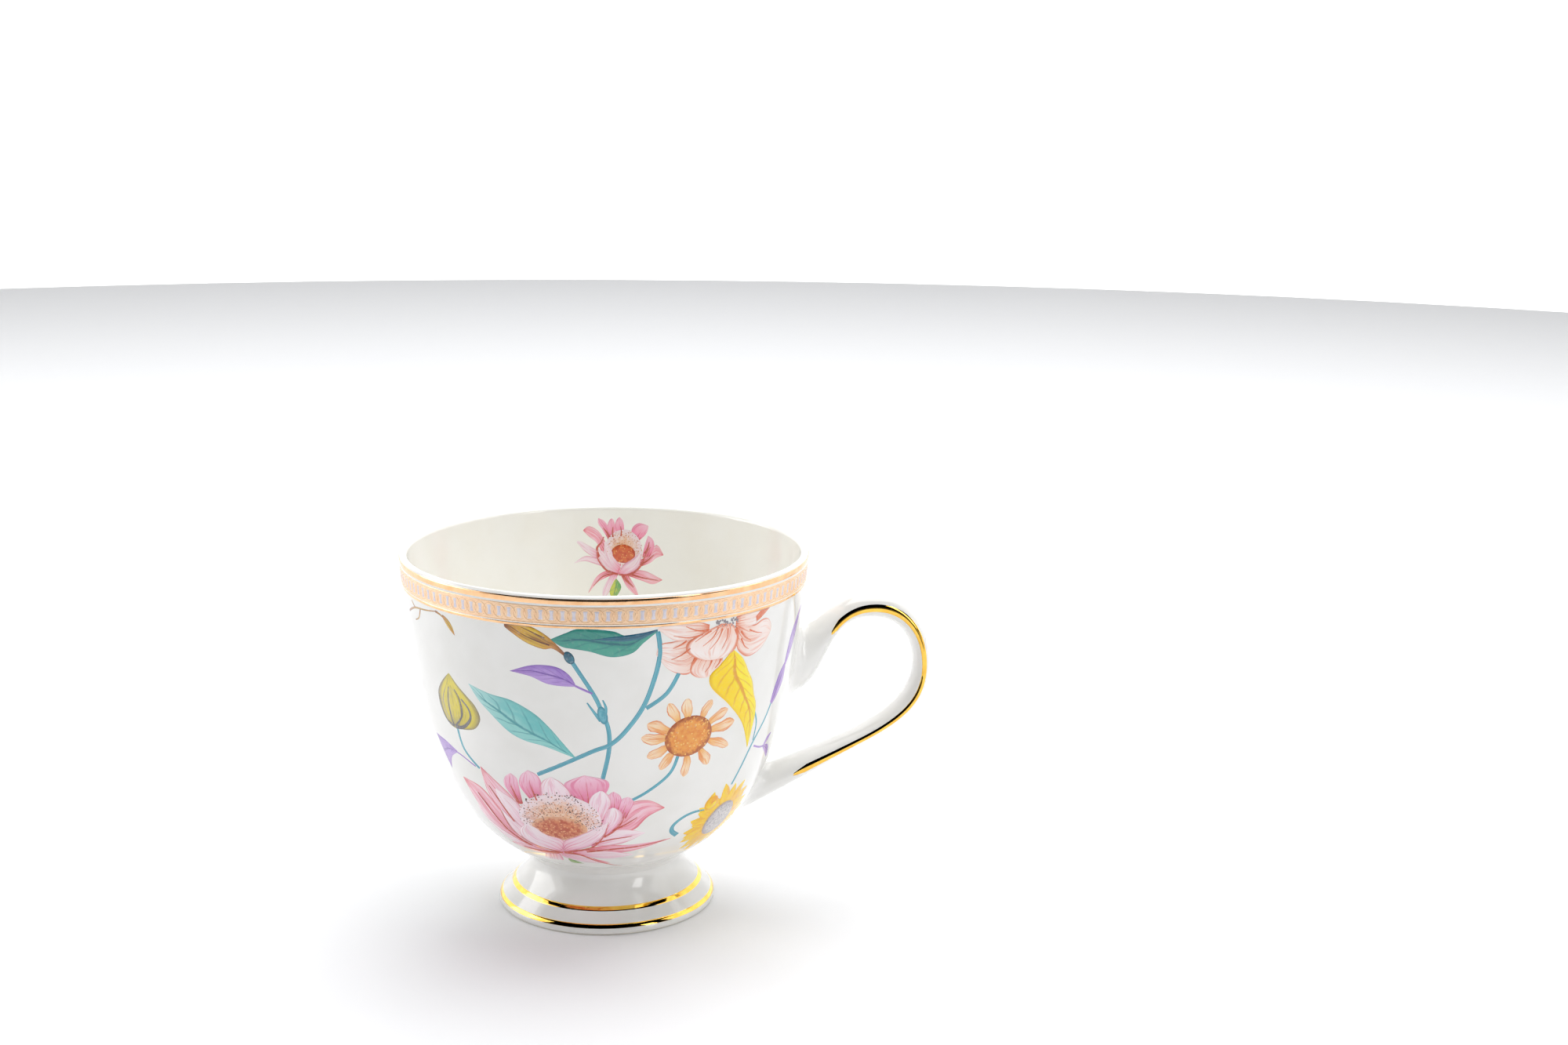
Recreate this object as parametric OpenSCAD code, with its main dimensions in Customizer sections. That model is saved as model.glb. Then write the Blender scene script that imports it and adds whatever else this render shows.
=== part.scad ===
// Footed porcelain teacup with a loop handle, gilt lines, a filigree rim band and floral transfers.
// Millimetres, +Z up. The origin is the centre of the foot ring's resting plane, and the handle
// points along +X. A motif's place is [azimuth, height, tilt]: azimuth is counted from the handle,
// and its outline is drawn flat, as seen from outside the cup, then pressed onto the wall.

/* [Cup] */
// Outside diameter at the rim
rim_d = 90; // [86:1:94]
// Height from the table to the lip
cup_h = 81.4; // [80:0.2:84]
// Half thickness of the rounded lip
lip_r = 0.9; // [0.7:0.1:1.1]
// Outside diameter where the wall turns up
belly_d = 70; // [68:1:72]
// Height of that turn
belly_z = 30.5; // [29:0.5:32]

/* [Foot] */
// Outside diameter of the foot ring
foot_d = 49; // [47:0.5:51]
// Diameter of the waist between foot and bowl
waist_d = 34.8; // [34:0.2:36]
// Height of the underside of the bowl
waist_z = 13; // [12:0.5:14]
// Height of the hollow under the foot
hollow_h = 10; // [8:0.5:11]

/* [Handle] */
// Half width of the strap
strap_w = 4.3; // [3.8:0.1:5]
// Extra half width of each root where it meets the bowl
root_flare = 1.5; // [0.5:0.1:2]

/* [Coatings] */
// Thickness of the slip that sticks foot and handle on
slip = 0.3; // [0.2:0.05:0.5]
// Thickness of gold and enamel
coat = 0.1; // [0.08:0.01:0.2]
// Lower edge of the filigree band
band_low = 75.2; // [74:0.2:76]
// Height of the gold line at the top of the band
rim_line_h = 0.8; // [0.6:0.1:1.2]
// Height of the line under the band
under_line_h = 0.6; // [0.4:0.1:1]
// Lower edge of the upper gold line on the foot
upper_line_z = 4.4; // [4:0.1:5]
// Lower edge of the lower gold line on the foot
lower_line_z = 1.5; // [1.3:0.1:2]
// Height of each gold line on the foot
foot_line_h = 0.9; // [0.6:0.1:1.2]

/* [Hidden] */

rim_r = rim_d / 2;
belly_r = belly_d / 2;
foot_r = foot_d / 2;
waist_r = waist_d / 2;
wide = 60;              // reaches past everything
steps = 10;             // stations along each stretch of a curve

// Cubic curve through a and d, pulled by b and c
function curve(a, b, c, d, n = steps) = [for (i = [0:n]) let (t = i / n, s = 1 - t)
    s * s * s * a + 3 * s * s * t * b + 3 * s * t * t * c + t * t * t * d];
function tail(p) = [for (i = [1:len(p) - 1]) p[i]];
function back(p) = [for (i = [len(p) - 1:-1:0]) p[i]];
function unit(v) = v / norm(v);

// Points moved square to the line by t, to the right of its direction
function shifted(p, t) = [for (i = [0:len(p) - 1])
    let (d = unit(p[min(i + 1, len(p) - 1)] - p[max(i - 1, 0)])) p[i] + t * [d.y, -d.x]];

// Outside of the bowl from waist to lip, and its inside from lip to floor, as [radius, height]
bowl_outside = concat(
    curve([waist_r, waist_z], [waist_r + 4.6, waist_z + 1], [belly_r - 5, belly_z - 11],
        [belly_r, belly_z]),
    tail(curve([belly_r, belly_z], [belly_r + 6.5, belly_z + 14], [rim_r - 1.5, cup_h - 17],
        [rim_r, cup_h - lip_r])));
bowl_lip = [for (a = [30:30:150]) [rim_r - lip_r + lip_r * cos(a), cup_h - lip_r + lip_r * sin(a)]];
inside_r = rim_r - 2 * lip_r;
bowl_inside = concat(
    curve([inside_r, cup_h - lip_r], [inside_r - 1.3, cup_h - 17], [belly_r + 3.9, belly_z + 15],
        [belly_r - 2.3, belly_z + 1]),
    tail(curve([belly_r - 2.3, belly_z + 1], [belly_r - 7, belly_z - 9.5], [19, waist_z + 3.2],
        [0, waist_z + 3])));

// Outside of the foot from the resting edge to the waist
foot_top = waist_z - slip;
foot_outside = concat(
    curve([foot_r - 0.5, 0], [foot_r + 0.2, 0.5], [foot_r + 0.1, 1.5], [foot_r - 0.9, 2.4], 4),
    tail(curve([foot_r - 0.9, 2.4], [waist_r + 0.8, 7.6], [waist_r - 0.6, 9], [waist_r, foot_top])));
foot_hollow = curve([foot_r - 3, 0], [foot_r - 4.5, 4], [14, hollow_h - 3], [13, hollow_h], 6);

// A thin layer on a turned surface, between two heights
module layer(line, low, high, t) {
    reach = 8;
    near = [for (p = line) if (p.y > low - reach && p.y < high + reach) p];
    intersection() {
        rotate_extrude($fn = 120) polygon(concat(near, back(shifted(near, t))));
        translate([0, 0, low]) cylinder(h = high - low, r = wide, $fn = 120);
    }
}
module bowl_body(grow) {
    edge = shifted(bowl_outside, grow);
    rotate_extrude($fn = 120)
        polygon(concat([[0, waist_z - grow]], edge, [[0, cup_h - lip_r]]));
}

module bowl() {
    color("ivory") rotate_extrude($fn = 120)
        polygon(concat([[0, waist_z]], bowl_outside, bowl_lip, bowl_inside));
}
module foot() {
    color("ivory") rotate_extrude($fn = 120)
        polygon(concat(foot_outside, [[0, foot_top], [0, hollow_h]], back(foot_hollow)));
}
module foot_slip_seam() {
    color("white") translate([0, 0, foot_top]) cylinder(h = slip, r = waist_r - 0.1, $fn = 120);
}
module rim_gold_line() {
    top = cup_h - lip_r - 0.3;
    color("goldenrod") layer(bowl_outside, top - rim_line_h, top, coat);
}
module filigree_band() {
    top = cup_h - lip_r - 0.3 - rim_line_h;
    color("peachpuff") layer(bowl_outside, band_low, top, coat);
}
module filigree_under_line() {
    color("goldenrod") layer(bowl_outside, band_low - under_line_h, band_low, coat);
}
module foot_upper_gold_line() {
    color("gold") layer(foot_outside, upper_line_z, upper_line_z + foot_line_h, coat);
}
module foot_lower_gold_line() {
    color("gold") layer(foot_outside, lower_line_z, lower_line_z + foot_line_h, coat);
}

// The strap of the handle lies between an outer and an inner edge curve, [x, z]
crown_n = 12;
bend_n = 9;
arm_n = 7;
strap_outer = concat(
    curve([40, 60.5], [48, 60.5], [51, 69.3], [60.5, 69.3], crown_n),
    tail(curve([60.5, 69.3], [69, 69.3], [74, 62], [74, 52.5], bend_n)),
    tail(curve([74, 52.5], [74, 43.5], [69.5, 39.3], [59, 34], bend_n)),
    tail(curve([59, 34], [49, 29], [38, 22], [26, 17.5], arm_n)));
strap_inner = concat(
    curve([39, 46], [52, 46], [47, 63.6], [60, 63.6], crown_n),
    tail(curve([60, 63.6], [66.5, 63.6], [70.5, 58.5], [70.5, 52], bend_n)),
    tail(curve([70.5, 52], [70.5, 45.5], [65.5, 41.2], [58, 37.5], bend_n)),
    tail(curve([58, 37.5], [50, 33.8], [40, 30.5], [30, 27], arm_n)));
stations = len(strap_outer);
// Section angles: the four nearest 0 and 180 form the flat ridges that carry the gold
ridge = [-20, -7, 7, 20];
arch = [40, 65, 90, 115, 140];
section = concat(ridge, arch, [for (a = ridge) a + 180], [for (a = arch) a + 180]);
function flare(i) = let (s = i / (stations - 1), e = max(0, 1 - 6 * min(s, 1 - s))) root_flare * e * e;
// Point of the strap at station i and section angle a, lifted off the surface by t
function strap_point(i, a, t = 0) =
    let (m = (strap_outer[i] + strap_inner[i]) / 2, h = (strap_outer[i] - strap_inner[i]) / 2,
        up = h * (1 + t / norm(h)) * sin(a), w = strap_w + flare(i) + t)
    [m.x + up.x, -w * cos(a), m.y + up.y];

// Skin of a tube made of equal rings of k points
function tube_faces(rings, k) = concat([[for (j = [0:k - 1]) j]],
    [for (i = [0:rings - 2], j = [0:k - 1]) each let (n = (j + 1) % k, p = i * k, q = p + k)
        [[p + n, p + j, q + j], [p + n, q + j, q + n]]],
    [[for (j = [k - 1:-1:0]) (rings - 1) * k + j]]);
module strap() {
    polyhedron([for (i = [0:stations - 1], a = section) strap_point(i, a)],
        tube_faces(stations, len(section)));
}
module handle() {
    color("ivory") difference() {
        strap();
        bowl_body(slip);
    }
}
module handle_slip(low, high) {
    color("white") intersection() {
        strap();
        layer(bowl_outside, low, high, slip);
    }
}
module handle_upper_slip() handle_slip(40, 66);
module handle_lower_slip() handle_slip(14, 34);
// Gold along one ridge: side 0 faces -Y and side 180 faces +Y
gold_from = 9;
gold_to = stations - 6;
module ridge_gold(side) {
    color("gold") polyhedron([for (i = [gold_from:gold_to]) each concat(
        [for (a = ridge) strap_point(i, a + side)],
        [for (a = back(ridge)) strap_point(i, a + side, coat)])],
        tube_faces(gold_to - gold_from + 1, 2 * len(ridge)));
}
module handle_front_gold_line() ridge_gold(0);
module handle_back_gold_line() ridge_gold(180);

// Flat outlines of the motifs, centred on [0, 0] or, for leaves and stems, starting there
function oval(rx, ry, n = 24) = [for (i = [0:n - 1]) [rx * cos(360 * i / n), ry * sin(360 * i / n)]];
function rosette(petals, rx, ry, dip) = [for (i = [0:4 * petals - 1])
    let (a = 90 * i / petals, k = 1 - dip * pow(abs(sin(a * petals / 2)), 2)) [rx * k * cos(a), ry * k * sin(a)]];
function leaf(length, width, bend) = let (n = 8)
    concat([for (i = [0:n]) [length * i / n, bend * sin(180 * i / n) - width / 2 * leaf_edge(i / n)]],
        [for (i = [n - 1:-1:1]) [length * i / n, bend * sin(180 * i / n) + width / 2 * leaf_edge(i / n)]]);
function leaf_edge(s) = sin(180 * pow(s, 0.8));
function stem(a, b, c, d, w = 1.1) = let (line = curve(a, b, c, d, 6))
    concat(shifted(line, w / 2), back(shifted(line, -w / 2)));

// A prism through the wall on one side of the cup, and the layer of enamel that it cuts out
module stamp(place, outline) {
    rotate([0, 0, place[0]]) translate([0, 0, place[1]]) rotate([90, 0, 90])
        rotate([0, 0, place[2]]) linear_extrude(height = wide) polygon(outline);
}
module transfer(place, outline, low, high, wall = bowl_outside) {
    intersection() {
        layer(wall, low, high, coat);
        stamp(place, outline);
    }
}
under_band = band_low - under_line_h;   // where the wrapped transfer is trimmed

lotus_at = [-110, 27, 0];
lotus_eye_at = [-110, 32, 0];
daisy_at = [-70, 49.5, 0];
peach_at = [-61, 73.5, 0];
sunflower_at = [-49, 26, 0];
lily_at = [78, 46, 0];
back_daisy_at = [35, 34, 0];
lotus_eye = oval(9, 4.2);
daisy_eye = oval(4.8, 4.8);
peach_eye = oval(4, 4);
sunflower_eye = oval(4, 4.4);
lily_eye = oval(4, 4.5);
back_daisy_eye = oval(4, 4);
lotus = rosette(11, 23, 13.5, 0.22);
daisy = rosette(12, 9.8, 9.8, 0.3);
peach = rosette(7, 13.5, 11.5, 0.15);
sunflower = rosette(14, 9.5, 9.5, 0.25);
lily = rosette(6, 15, 15, 0.55);
violet = rosette(6, 9, 9, 0.45);
back_daisy = rosette(11, 8.5, 8.5, 0.3);
dark_leaf_at = [-81, 73.4, 186];
light_leaf_at = [-104.7, 46, 148.5];
purple_leaf_at = [-103.4, 62.2, 170];
pod_at = [-106.4, 69, 156];
bud_at = [-145, 54.5, 100];
spray_at = [-35.5, 52, 60];
yellow_leaf_at = [-61, 66, -63];
dark_leaf = leaf(21.5, 6.4, 0.6);
light_leaf = leaf(25.5, 6.4, 0.8);
purple_blade = leaf(14, 3.8, 0.8);
yellow_blade = leaf(25, 8, 1.5);
pod = leaf(15, 4, 0);
bud = oval(6, 4.5);
spray = leaf(20, 2.6, 0.5);

module lotus_petals() {
    color("pink") difference() {
        transfer(lotus_at, lotus, waist_z + 0.5, 42);
        stamp(lotus_eye_at, lotus_eye);
    }
}
module lotus_centre() {
    color("indianred") transfer(lotus_eye_at, lotus_eye, 24, 40);
}
module daisy_petals() {
    color("sandybrown") difference() {
        transfer(daisy_at, daisy, 36, 62);
        stamp(daisy_at, daisy_eye);
    }
}
module daisy_centre() {
    color("chocolate") transfer(daisy_at, daisy_eye, 42, 57);
}
module peach_blossom() {
    color("peachpuff") difference() {
        transfer(peach_at, peach, 58, under_band);
        stamp(peach_at, peach_eye);
    }
}
module peach_stamens() {
    color("slategray") transfer(peach_at, peach_eye, 64, under_band);
}
module sunflower_petals() {
    color("gold") difference() {
        transfer(sunflower_at, sunflower, 15, 40);
        stamp(sunflower_at, sunflower_eye);
    }
}
module sunflower_centre() {
    color("gray") transfer(sunflower_at, sunflower_eye, 18, 34);
}
module yellow_leaf() {
    color("khaki") difference() {
        transfer(yellow_leaf_at, yellow_blade, 42, 66);
        stamp(peach_at, peach);
    }
}
module dark_teal_leaf() {
    color("teal") difference() {
        transfer(dark_leaf_at, dark_leaf, 64, under_band);
        stamp(pod_at, pod);
    }
}
module light_teal_leaf() {
    color("mediumturquoise") transfer(light_leaf_at, light_leaf, 40, 64);
}
module purple_leaf() {
    color("mediumpurple") transfer(purple_leaf_at, purple_blade, 56, 70);
}
module tan_pod() {
    color("tan") transfer(pod_at, pod, 62, under_band);
}
module yellow_bud() {
    color("khaki") transfer(bud_at, bud, 46, 62);
}
module purple_spray() {
    color("purple") transfer(spray_at, spray, 48, 73);
}
module side_sprig() {
    color("sandybrown") transfer([-156, 72.5, -12], oval(8, 1.8), 68, under_band);
}
module front_stems() {
    color("steelblue") difference() {
        union() {
            transfer([-100, 50, 0], stem([-4, 19], [2, 12], [5, 4], [3, -8]), 40, 70);
            transfer([-95, 50, 0], stem([10, 23], [10, 8], [4, 0], [-13, -8]), 40, under_band);
            transfer([-75, 50, 0], stem([0, 14], [-2, 11], [-4, 9], [-7, 7]), 54, 66);
            transfer([-80, 38, 0], stem([5, 7], [4, 2], [0, -2], [-6, -3]), 33, 46);
            transfer([-143, 44, 0], stem([-2, 5], [-1, 0], [1, -3], [4, -5]), 36, 50);
            transfer([-42, 44, 0], stem([6, 6], [4, 2], [0, -4], [-4, -9]), 33, 52);
        }
        stamp(lotus_at, lotus);
        stamp(daisy_at, daisy);
        stamp(peach_at, peach);
        stamp(dark_leaf_at, dark_leaf);
        stamp(light_leaf_at, light_leaf);
        stamp(purple_leaf_at, purple_blade);
        stamp(pod_at, pod);
        stamp(bud_at, bud);
        stamp(spray_at, spray);
        stamp(yellow_leaf_at, yellow_blade);
        stamp(sunflower_at, sunflower);
    }
}
module inner_blossom() {
    color("hotpink") transfer([80, 69.5, 0], rosette(10, 10, 9.5, 0.25), 58, 80, bowl_inside);
}
module lily_petals() {
    color("lightyellow") difference() {
        transfer(lily_at, lily, 28, 64);
        stamp(lily_at, lily_eye);
    }
}
module lily_centre() {
    color("crimson") transfer(lily_at, lily_eye, 40, 52);
}
module lily_left_leaf() {
    color("mediumturquoise") difference() {
        transfer([60, 40, 200], leaf(14, 6, 1), 28, 50);
        stamp(lily_at, lily);
    }
}
module lily_right_leaf() {
    color("mediumturquoise") difference() {
        transfer([96, 40, -30], leaf(17, 6, 1), 26, 50);
        stamp(lily_at, lily);
    }
}
module violet_blossom() {
    color("plum") transfer([128, 60, 0], violet, 48, under_band);
}
module olive_leaf() {
    color("olive") transfer([156, 38, 80], leaf(20, 9, 1), 36, 60);
}
module back_daisy_petals() {
    color("sandybrown") difference() {
        transfer(back_daisy_at, back_daisy, 24, 44);
        stamp(back_daisy_at, back_daisy_eye);
    }
}
module back_daisy_centre() {
    color("chocolate") transfer(back_daisy_at, back_daisy_eye, 28, 40);
}
module back_bud() {
    color("pink") transfer([42, 64, 60], oval(6, 3.5), 56, 72);
}
module back_stems() {
    color("steelblue") difference() {
        union() {
            transfer([78, 30, 0], stem([0, 4], [1, 0], [3, -5], [7, -9]), 20, 44);
            transfer([140, 40, 0], stem([-8, 14], [-4, 4], [-2, -4], [-10, -12]), 26, 56);
            transfer([45, 50, 0], stem([-3, 9], [-2, 2], [-6, -4], [-10, -8]), 40, 62);
        }
        stamp(lily_at, lily);
        stamp([128, 60, 0], violet);
        stamp([96, 40, -30], leaf(17, 6, 1));
        stamp([60, 40, 200], leaf(14, 6, 1));
        stamp([156, 38, 80], leaf(20, 9, 1));
        stamp([42, 64, 60], oval(6, 3.5));
        stamp(back_daisy_at, back_daisy);
    }
}

bowl();
foot();
foot_slip_seam();
handle();
handle_upper_slip();
handle_lower_slip();
rim_gold_line();
filigree_band();
filigree_under_line();
foot_upper_gold_line();
foot_lower_gold_line();
handle_front_gold_line();
handle_back_gold_line();
lotus_petals();
lotus_centre();
daisy_petals();
daisy_centre();
peach_blossom();
peach_stamens();
sunflower_petals();
sunflower_centre();
yellow_leaf();
dark_teal_leaf();
light_teal_leaf();
purple_leaf();
tan_pod();
yellow_bud();
purple_spray();
side_sprig();
front_stems();
inner_blossom();
lily_petals();
lily_centre();
lily_left_leaf();
lily_right_leaf();
violet_blossom();
olive_leaf();
back_daisy_petals();
back_daisy_centre();
back_bud();
back_stems();
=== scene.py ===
import bisect
import math
import random

import bpy
from mathutils import Matrix, Vector


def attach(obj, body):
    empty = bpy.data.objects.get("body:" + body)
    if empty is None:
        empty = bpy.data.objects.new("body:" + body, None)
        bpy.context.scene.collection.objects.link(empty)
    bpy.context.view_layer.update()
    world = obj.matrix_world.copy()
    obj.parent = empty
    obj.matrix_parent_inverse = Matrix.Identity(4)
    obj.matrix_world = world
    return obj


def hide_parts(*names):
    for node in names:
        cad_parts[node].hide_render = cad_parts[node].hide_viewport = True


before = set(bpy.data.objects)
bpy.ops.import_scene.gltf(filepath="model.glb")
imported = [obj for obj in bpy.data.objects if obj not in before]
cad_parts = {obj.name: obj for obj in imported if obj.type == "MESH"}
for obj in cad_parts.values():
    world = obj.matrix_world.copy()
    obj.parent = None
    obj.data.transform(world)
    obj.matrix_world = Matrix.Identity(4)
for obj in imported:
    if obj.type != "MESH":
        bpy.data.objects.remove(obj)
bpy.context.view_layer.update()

# ---- Viewpoint -------------------------------------------------------------------------------
# The cup is looked at from a little above its rim and a little left of its front, so that the
# handle stands out to the right and the mouth shows as a flat oval.
eye = Vector((-0.0405, -0.4568, 0.1870))
heading = math.radians(-10.0)
dip = math.radians(12.3)
roll = math.radians(0.7)

level_right = Vector((math.cos(heading), math.sin(heading), 0))
forward = Vector((-math.sin(heading) * math.cos(dip), math.cos(heading) * math.cos(dip), -math.sin(dip)))
level_up = level_right.cross(forward)
right = level_right * math.cos(roll) + level_up * math.sin(roll)
up = level_up * math.cos(roll) - level_right * math.sin(roll)

camera_data = bpy.data.cameras.new("camera")
camera_data.lens = 48.7
camera_data.sensor_width = 36
camera = bpy.data.objects.new("camera", camera_data)
camera.matrix_world = Matrix.Translation(eye) @ Matrix((right, up, -forward)).transposed().to_4x4()
bpy.context.scene.collection.objects.link(camera)
bpy.context.scene.camera = camera

# ---- Bowl ------------------------------------------------------------------------------------
# The bowl is one thrown shape of glazed white porcelain, about 2 mm thick, with a rolled lip.
# All curves are (radius, height) in millimetres, on the same lines as the solid frame.
MM = 0.001
rim_z = 80.5
rim_radius = 45
lip_radius = 0.9
lip_steps = 16
underside_z = 13
outside_curves = [
    [(17.4, underside_z), (22, 14), (30, 19.5), (35, 30.5)],
    [(35, 30.5), (41.5, 44.5), (43.5, 64.4), (rim_radius, rim_z)],
]
inside_curves = [
    [(43.2, rim_z), (41.9, 64.4), (38.9, 45.5), (32.7, 31.5)],
    [(32.7, 31.5), (28, 21), (19, 16.2), (0, 16)],
]


def bend(curve, steps):
    """Points along one cubic curve, from its start up to, but without, its end."""
    found = []
    for step in range(steps):
        t = step / steps
        shares = ((1 - t) ** 3, 3 * t * (1 - t) ** 2, 3 * t * t * (1 - t), t ** 3)
        found.append(tuple(sum(s * p[axis] for s, p in zip(shares, curve)) for axis in (0, 1)))
    return found


def joined(curves, steps):
    """Points along curves that follow each other, with the last one's end."""
    return [point for curve in curves for point in bend(curve, steps)] + [curves[-1][-1]]


class Tone:
    """A socket of a material's nodes, with the arithmetic that the finishes are written in."""

    def __init__(self, tree, socket):
        self.tree = tree
        self.socket = socket

    def outs(self, *names):
        """Other outputs of the same node."""
        return [Tone(self.tree, self.socket.node.outputs[name]) for name in names]

    def maths(self, operation, *terms):
        node = self.tree.nodes.new("ShaderNodeMath")
        node.operation = operation
        for socket, term in zip(node.inputs, terms):
            if isinstance(term, Tone):
                self.tree.links.new(term.socket, socket)
            else:
                socket.default_value = term
        return Tone(self.tree, node.outputs[0])

    def __add__(self, other):
        return self.maths("ADD", self, other)

    __radd__ = __add__

    def __sub__(self, other):
        return self.maths("SUBTRACT", self, other)

    def __rsub__(self, other):
        return self.maths("SUBTRACT", other, self)

    def __mul__(self, other):
        return self.maths("MULTIPLY", self, other)

    __rmul__ = __mul__

    def __abs__(self):
        return self.maths("ABSOLUTE", self)

    def __mod__(self, other):
        return self.maths("WRAP", self, other, 0)

    def step(self, low, high):
        """0 below low and 1 above high, with a soft change between; low above high turns it round."""
        node = self.tree.nodes.new("ShaderNodeMapRange")
        node.interpolation_type = "SMOOTHSTEP"
        self.tree.links.new(self.socket, node.inputs["Value"])
        if low < high:
            node.inputs["From Min"].default_value = low
            node.inputs["From Max"].default_value = high
            return Tone(self.tree, node.outputs[0])
        node.inputs["From Min"].default_value = high
        node.inputs["From Max"].default_value = low
        return 1 - Tone(self.tree, node.outputs[0])


def ink(red, green, blue):
    """A paint colour from its 0 to 255 screen values, as the nodes want it."""
    shares = [value / 255 for value in (red, green, blue)]
    return (*[s / 12.92 if s < 0.04045 else ((s + 0.055) / 1.055) ** 2.4 for s in shares], 1)


class Finish:
    """One material: its nodes are added one by one and end in a glossy surface."""

    def __init__(self, name):
        self.material = bpy.data.materials.new(name)
        self.material.use_nodes = True
        self.tree = self.material.node_tree
        self.tree.nodes.clear()

    def node(self, kind, settings, sockets, out=0):
        made = self.tree.nodes.new(kind)
        for key, value in settings.items():
            if key == "stops":
                ramp = made.color_ramp.elements
                while len(ramp) < len(value):
                    ramp.new(0.5)
                for element, (place, colour) in zip(ramp, value):
                    element.position = place
                    element.color = colour
            else:
                setattr(made, key, value)
        for key, value in sockets.items():
            if isinstance(value, Tone):
                self.tree.links.new(value.socket, made.inputs[key])
            else:
                made.inputs[key].default_value = value
        return Tone(self.tree, made.outputs[out] if made.outputs else None)

    def place(self):
        return self.node("ShaderNodeTexCoord", {}, {}, "Object")

    def blade(self):
        """(across, along, tone) of the painted shapes: across runs -1 to 1, the others 0 to 1."""
        mark = self.node("ShaderNodeAttribute", {"attribute_name": "blade"}, {}, "Vector")
        return self.node("ShaderNodeSeparateXYZ", {}, {"Vector": mark}).outs("X", "Y", "Z")

    def noise(self, where, scale, detail=2.0, rough=0.5):
        """Cloudy noise; scale counts its waves to the metre, or to one unit of a made-up vector."""
        sockets = {"Vector": where, "Scale": scale, "Detail": detail, "Roughness": rough}
        return self.node("ShaderNodeTexNoise", {}, sockets)

    def vector(self, x, y, z):
        return self.node("ShaderNodeCombineXYZ", {}, {"X": x, "Y": y, "Z": z})

    def ramp(self, value, stops):
        return self.node("ShaderNodeValToRGB", {"stops": stops}, {"Fac": value})

    def mix(self, share, first, second, blend="MIX"):
        """Two colours mixed; sockets 0, 6 and 7 and output 2 are the ones that carry colour."""
        settings = {"data_type": "RGBA", "blend_type": blend}
        return self.node("ShaderNodeMix", settings, {0: share, 6: first, 7: second}, 2)

    def bump(self, height, strength, depth_mm):
        sockets = {"Height": height, "Strength": strength, "Distance": depth_mm * MM}
        return self.node("ShaderNodeBump", {}, sockets)

    def surface(self, **sockets):
        named = {key.replace("_", " "): value for key, value in sockets.items()}
        shader = self.node("ShaderNodeBsdfPrincipled", {}, named)
        self.node("ShaderNodeOutputMaterial", {}, {"Surface": shader})
        return self.material


def porcelain(name, body, shade):
    """Clear glaze on white porcelain: nearly even, with faint cloudiness and a slow ripple."""
    finish = Finish(name)
    where = finish.place()
    cloud = finish.noise(where, 90, 3)
    speck = finish.noise(where, 2600, 2)
    colour = finish.mix(cloud.step(0.35, 0.7), body, shade)
    colour = finish.mix(speck.step(0.74, 0.82) * 0.12, colour, ink(196, 186, 168))
    ripple = finish.noise(where, 140, 2)
    return finish.surface(
        Base_Color=colour,
        Roughness=0.07 + 0.05 * cloud,
        Normal=finish.bump(ripple, 0.25, 0.05),
        Coat_Weight=0.3,
        Coat_Roughness=0.03,
    )


glaze = porcelain("porcelain_glaze", ink(243, 242, 239), ink(238, 237, 233))
# The inside copy of the same glaze is painted lighter and warmer than the outside one: painted light for the
# brightly lit inside of the bowl.
glaze_inside_lit = porcelain("porcelain_glaze_inside", ink(252, 251, 246), ink(250, 248, 241))


def piece(name, points, faces, *finishes):
    """A smooth-shaded mesh object from points in metres."""
    mesh = bpy.data.meshes.new(name)
    mesh.from_pydata(points, [], faces)
    mesh.shade_smooth()
    for finish in finishes:
        mesh.materials.append(finish)
    made = bpy.data.objects.new(name, mesh)
    bpy.context.scene.collection.objects.link(made)
    return made


def turned(name, profile, sides, *finishes):
    """A mesh turned round the upright axis from (radius, height) points in millimetres."""
    points = []
    faces = []
    last = None
    for radius, height in profile:
        count = sides if radius > 0 else 1
        ring = [len(points) + side for side in range(count)]
        for side in range(count):
            angle = math.tau * side / sides
            spot = (radius * math.cos(angle), radius * math.sin(angle), height)
            points.append(tuple(value * MM for value in spot))
        if last:
            for side in range(sides):
                after = (side + 1) % sides
                corners = [last[side % len(last)], last[after % len(last)]]
                corners += [ring[after % len(ring)], ring[side % len(ring)]]
                faces.append(list(dict.fromkeys(corners)))
        last = ring
    return piece(name, points, faces, *finishes)


def settle(made, slot, *nodes):
    """The piece rides with the cup and stands for its solid nodes, which it hides; slot is not used."""
    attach(made, "root")
    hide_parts(*nodes)
    return made


lip = []
for step in range(1, lip_steps):
    angle = math.pi * step / lip_steps
    lip_out = rim_radius - lip_radius + lip_radius * math.cos(angle)
    lip.append((lip_out, rim_z + lip_radius * math.sin(angle)))
outside = joined(outside_curves, 70)
inside = joined(inside_curves, 60)
cup_sides = 320
bowl_profile = [(0, underside_z), *outside, *lip, *inside]
bowl = turned("bowl_body", bowl_profile, cup_sides, glaze, glaze_inside_lit)
# Inside faces take the lighter copy of the glaze, which is painted light.
for face in bowl.data.polygons:
    outward = face.normal.x * face.center.x + face.normal.y * face.center.y
    face.material_index = 1 if outward < 0 else 0
settle(bowl, "porcelain", "bowl")

wall_heights = [height for radius, height in outside]
wall_radii = [radius for radius, height in outside]
inner_heights = [height for radius, height in reversed(inside)]
inner_radii = [radius for radius, height in reversed(inside)]


def reading(height, heights, radii):
    """Radius of a wall at a height, from its own profile points."""
    after = min(max(bisect.bisect(heights, height), 1), len(heights) - 1)
    low, high = heights[after - 1], heights[after]
    share = min(max((height - low) / (high - low), 0), 1)
    return radii[after - 1] + share * (radii[after] - radii[after - 1])


def wall(height):
    """Outside radius of the bowl."""
    return reading(height, wall_heights, wall_radii)


def inner_wall(height):
    """Inside radius of the bowl."""
    return reading(height, inner_heights, inner_radii)

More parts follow.
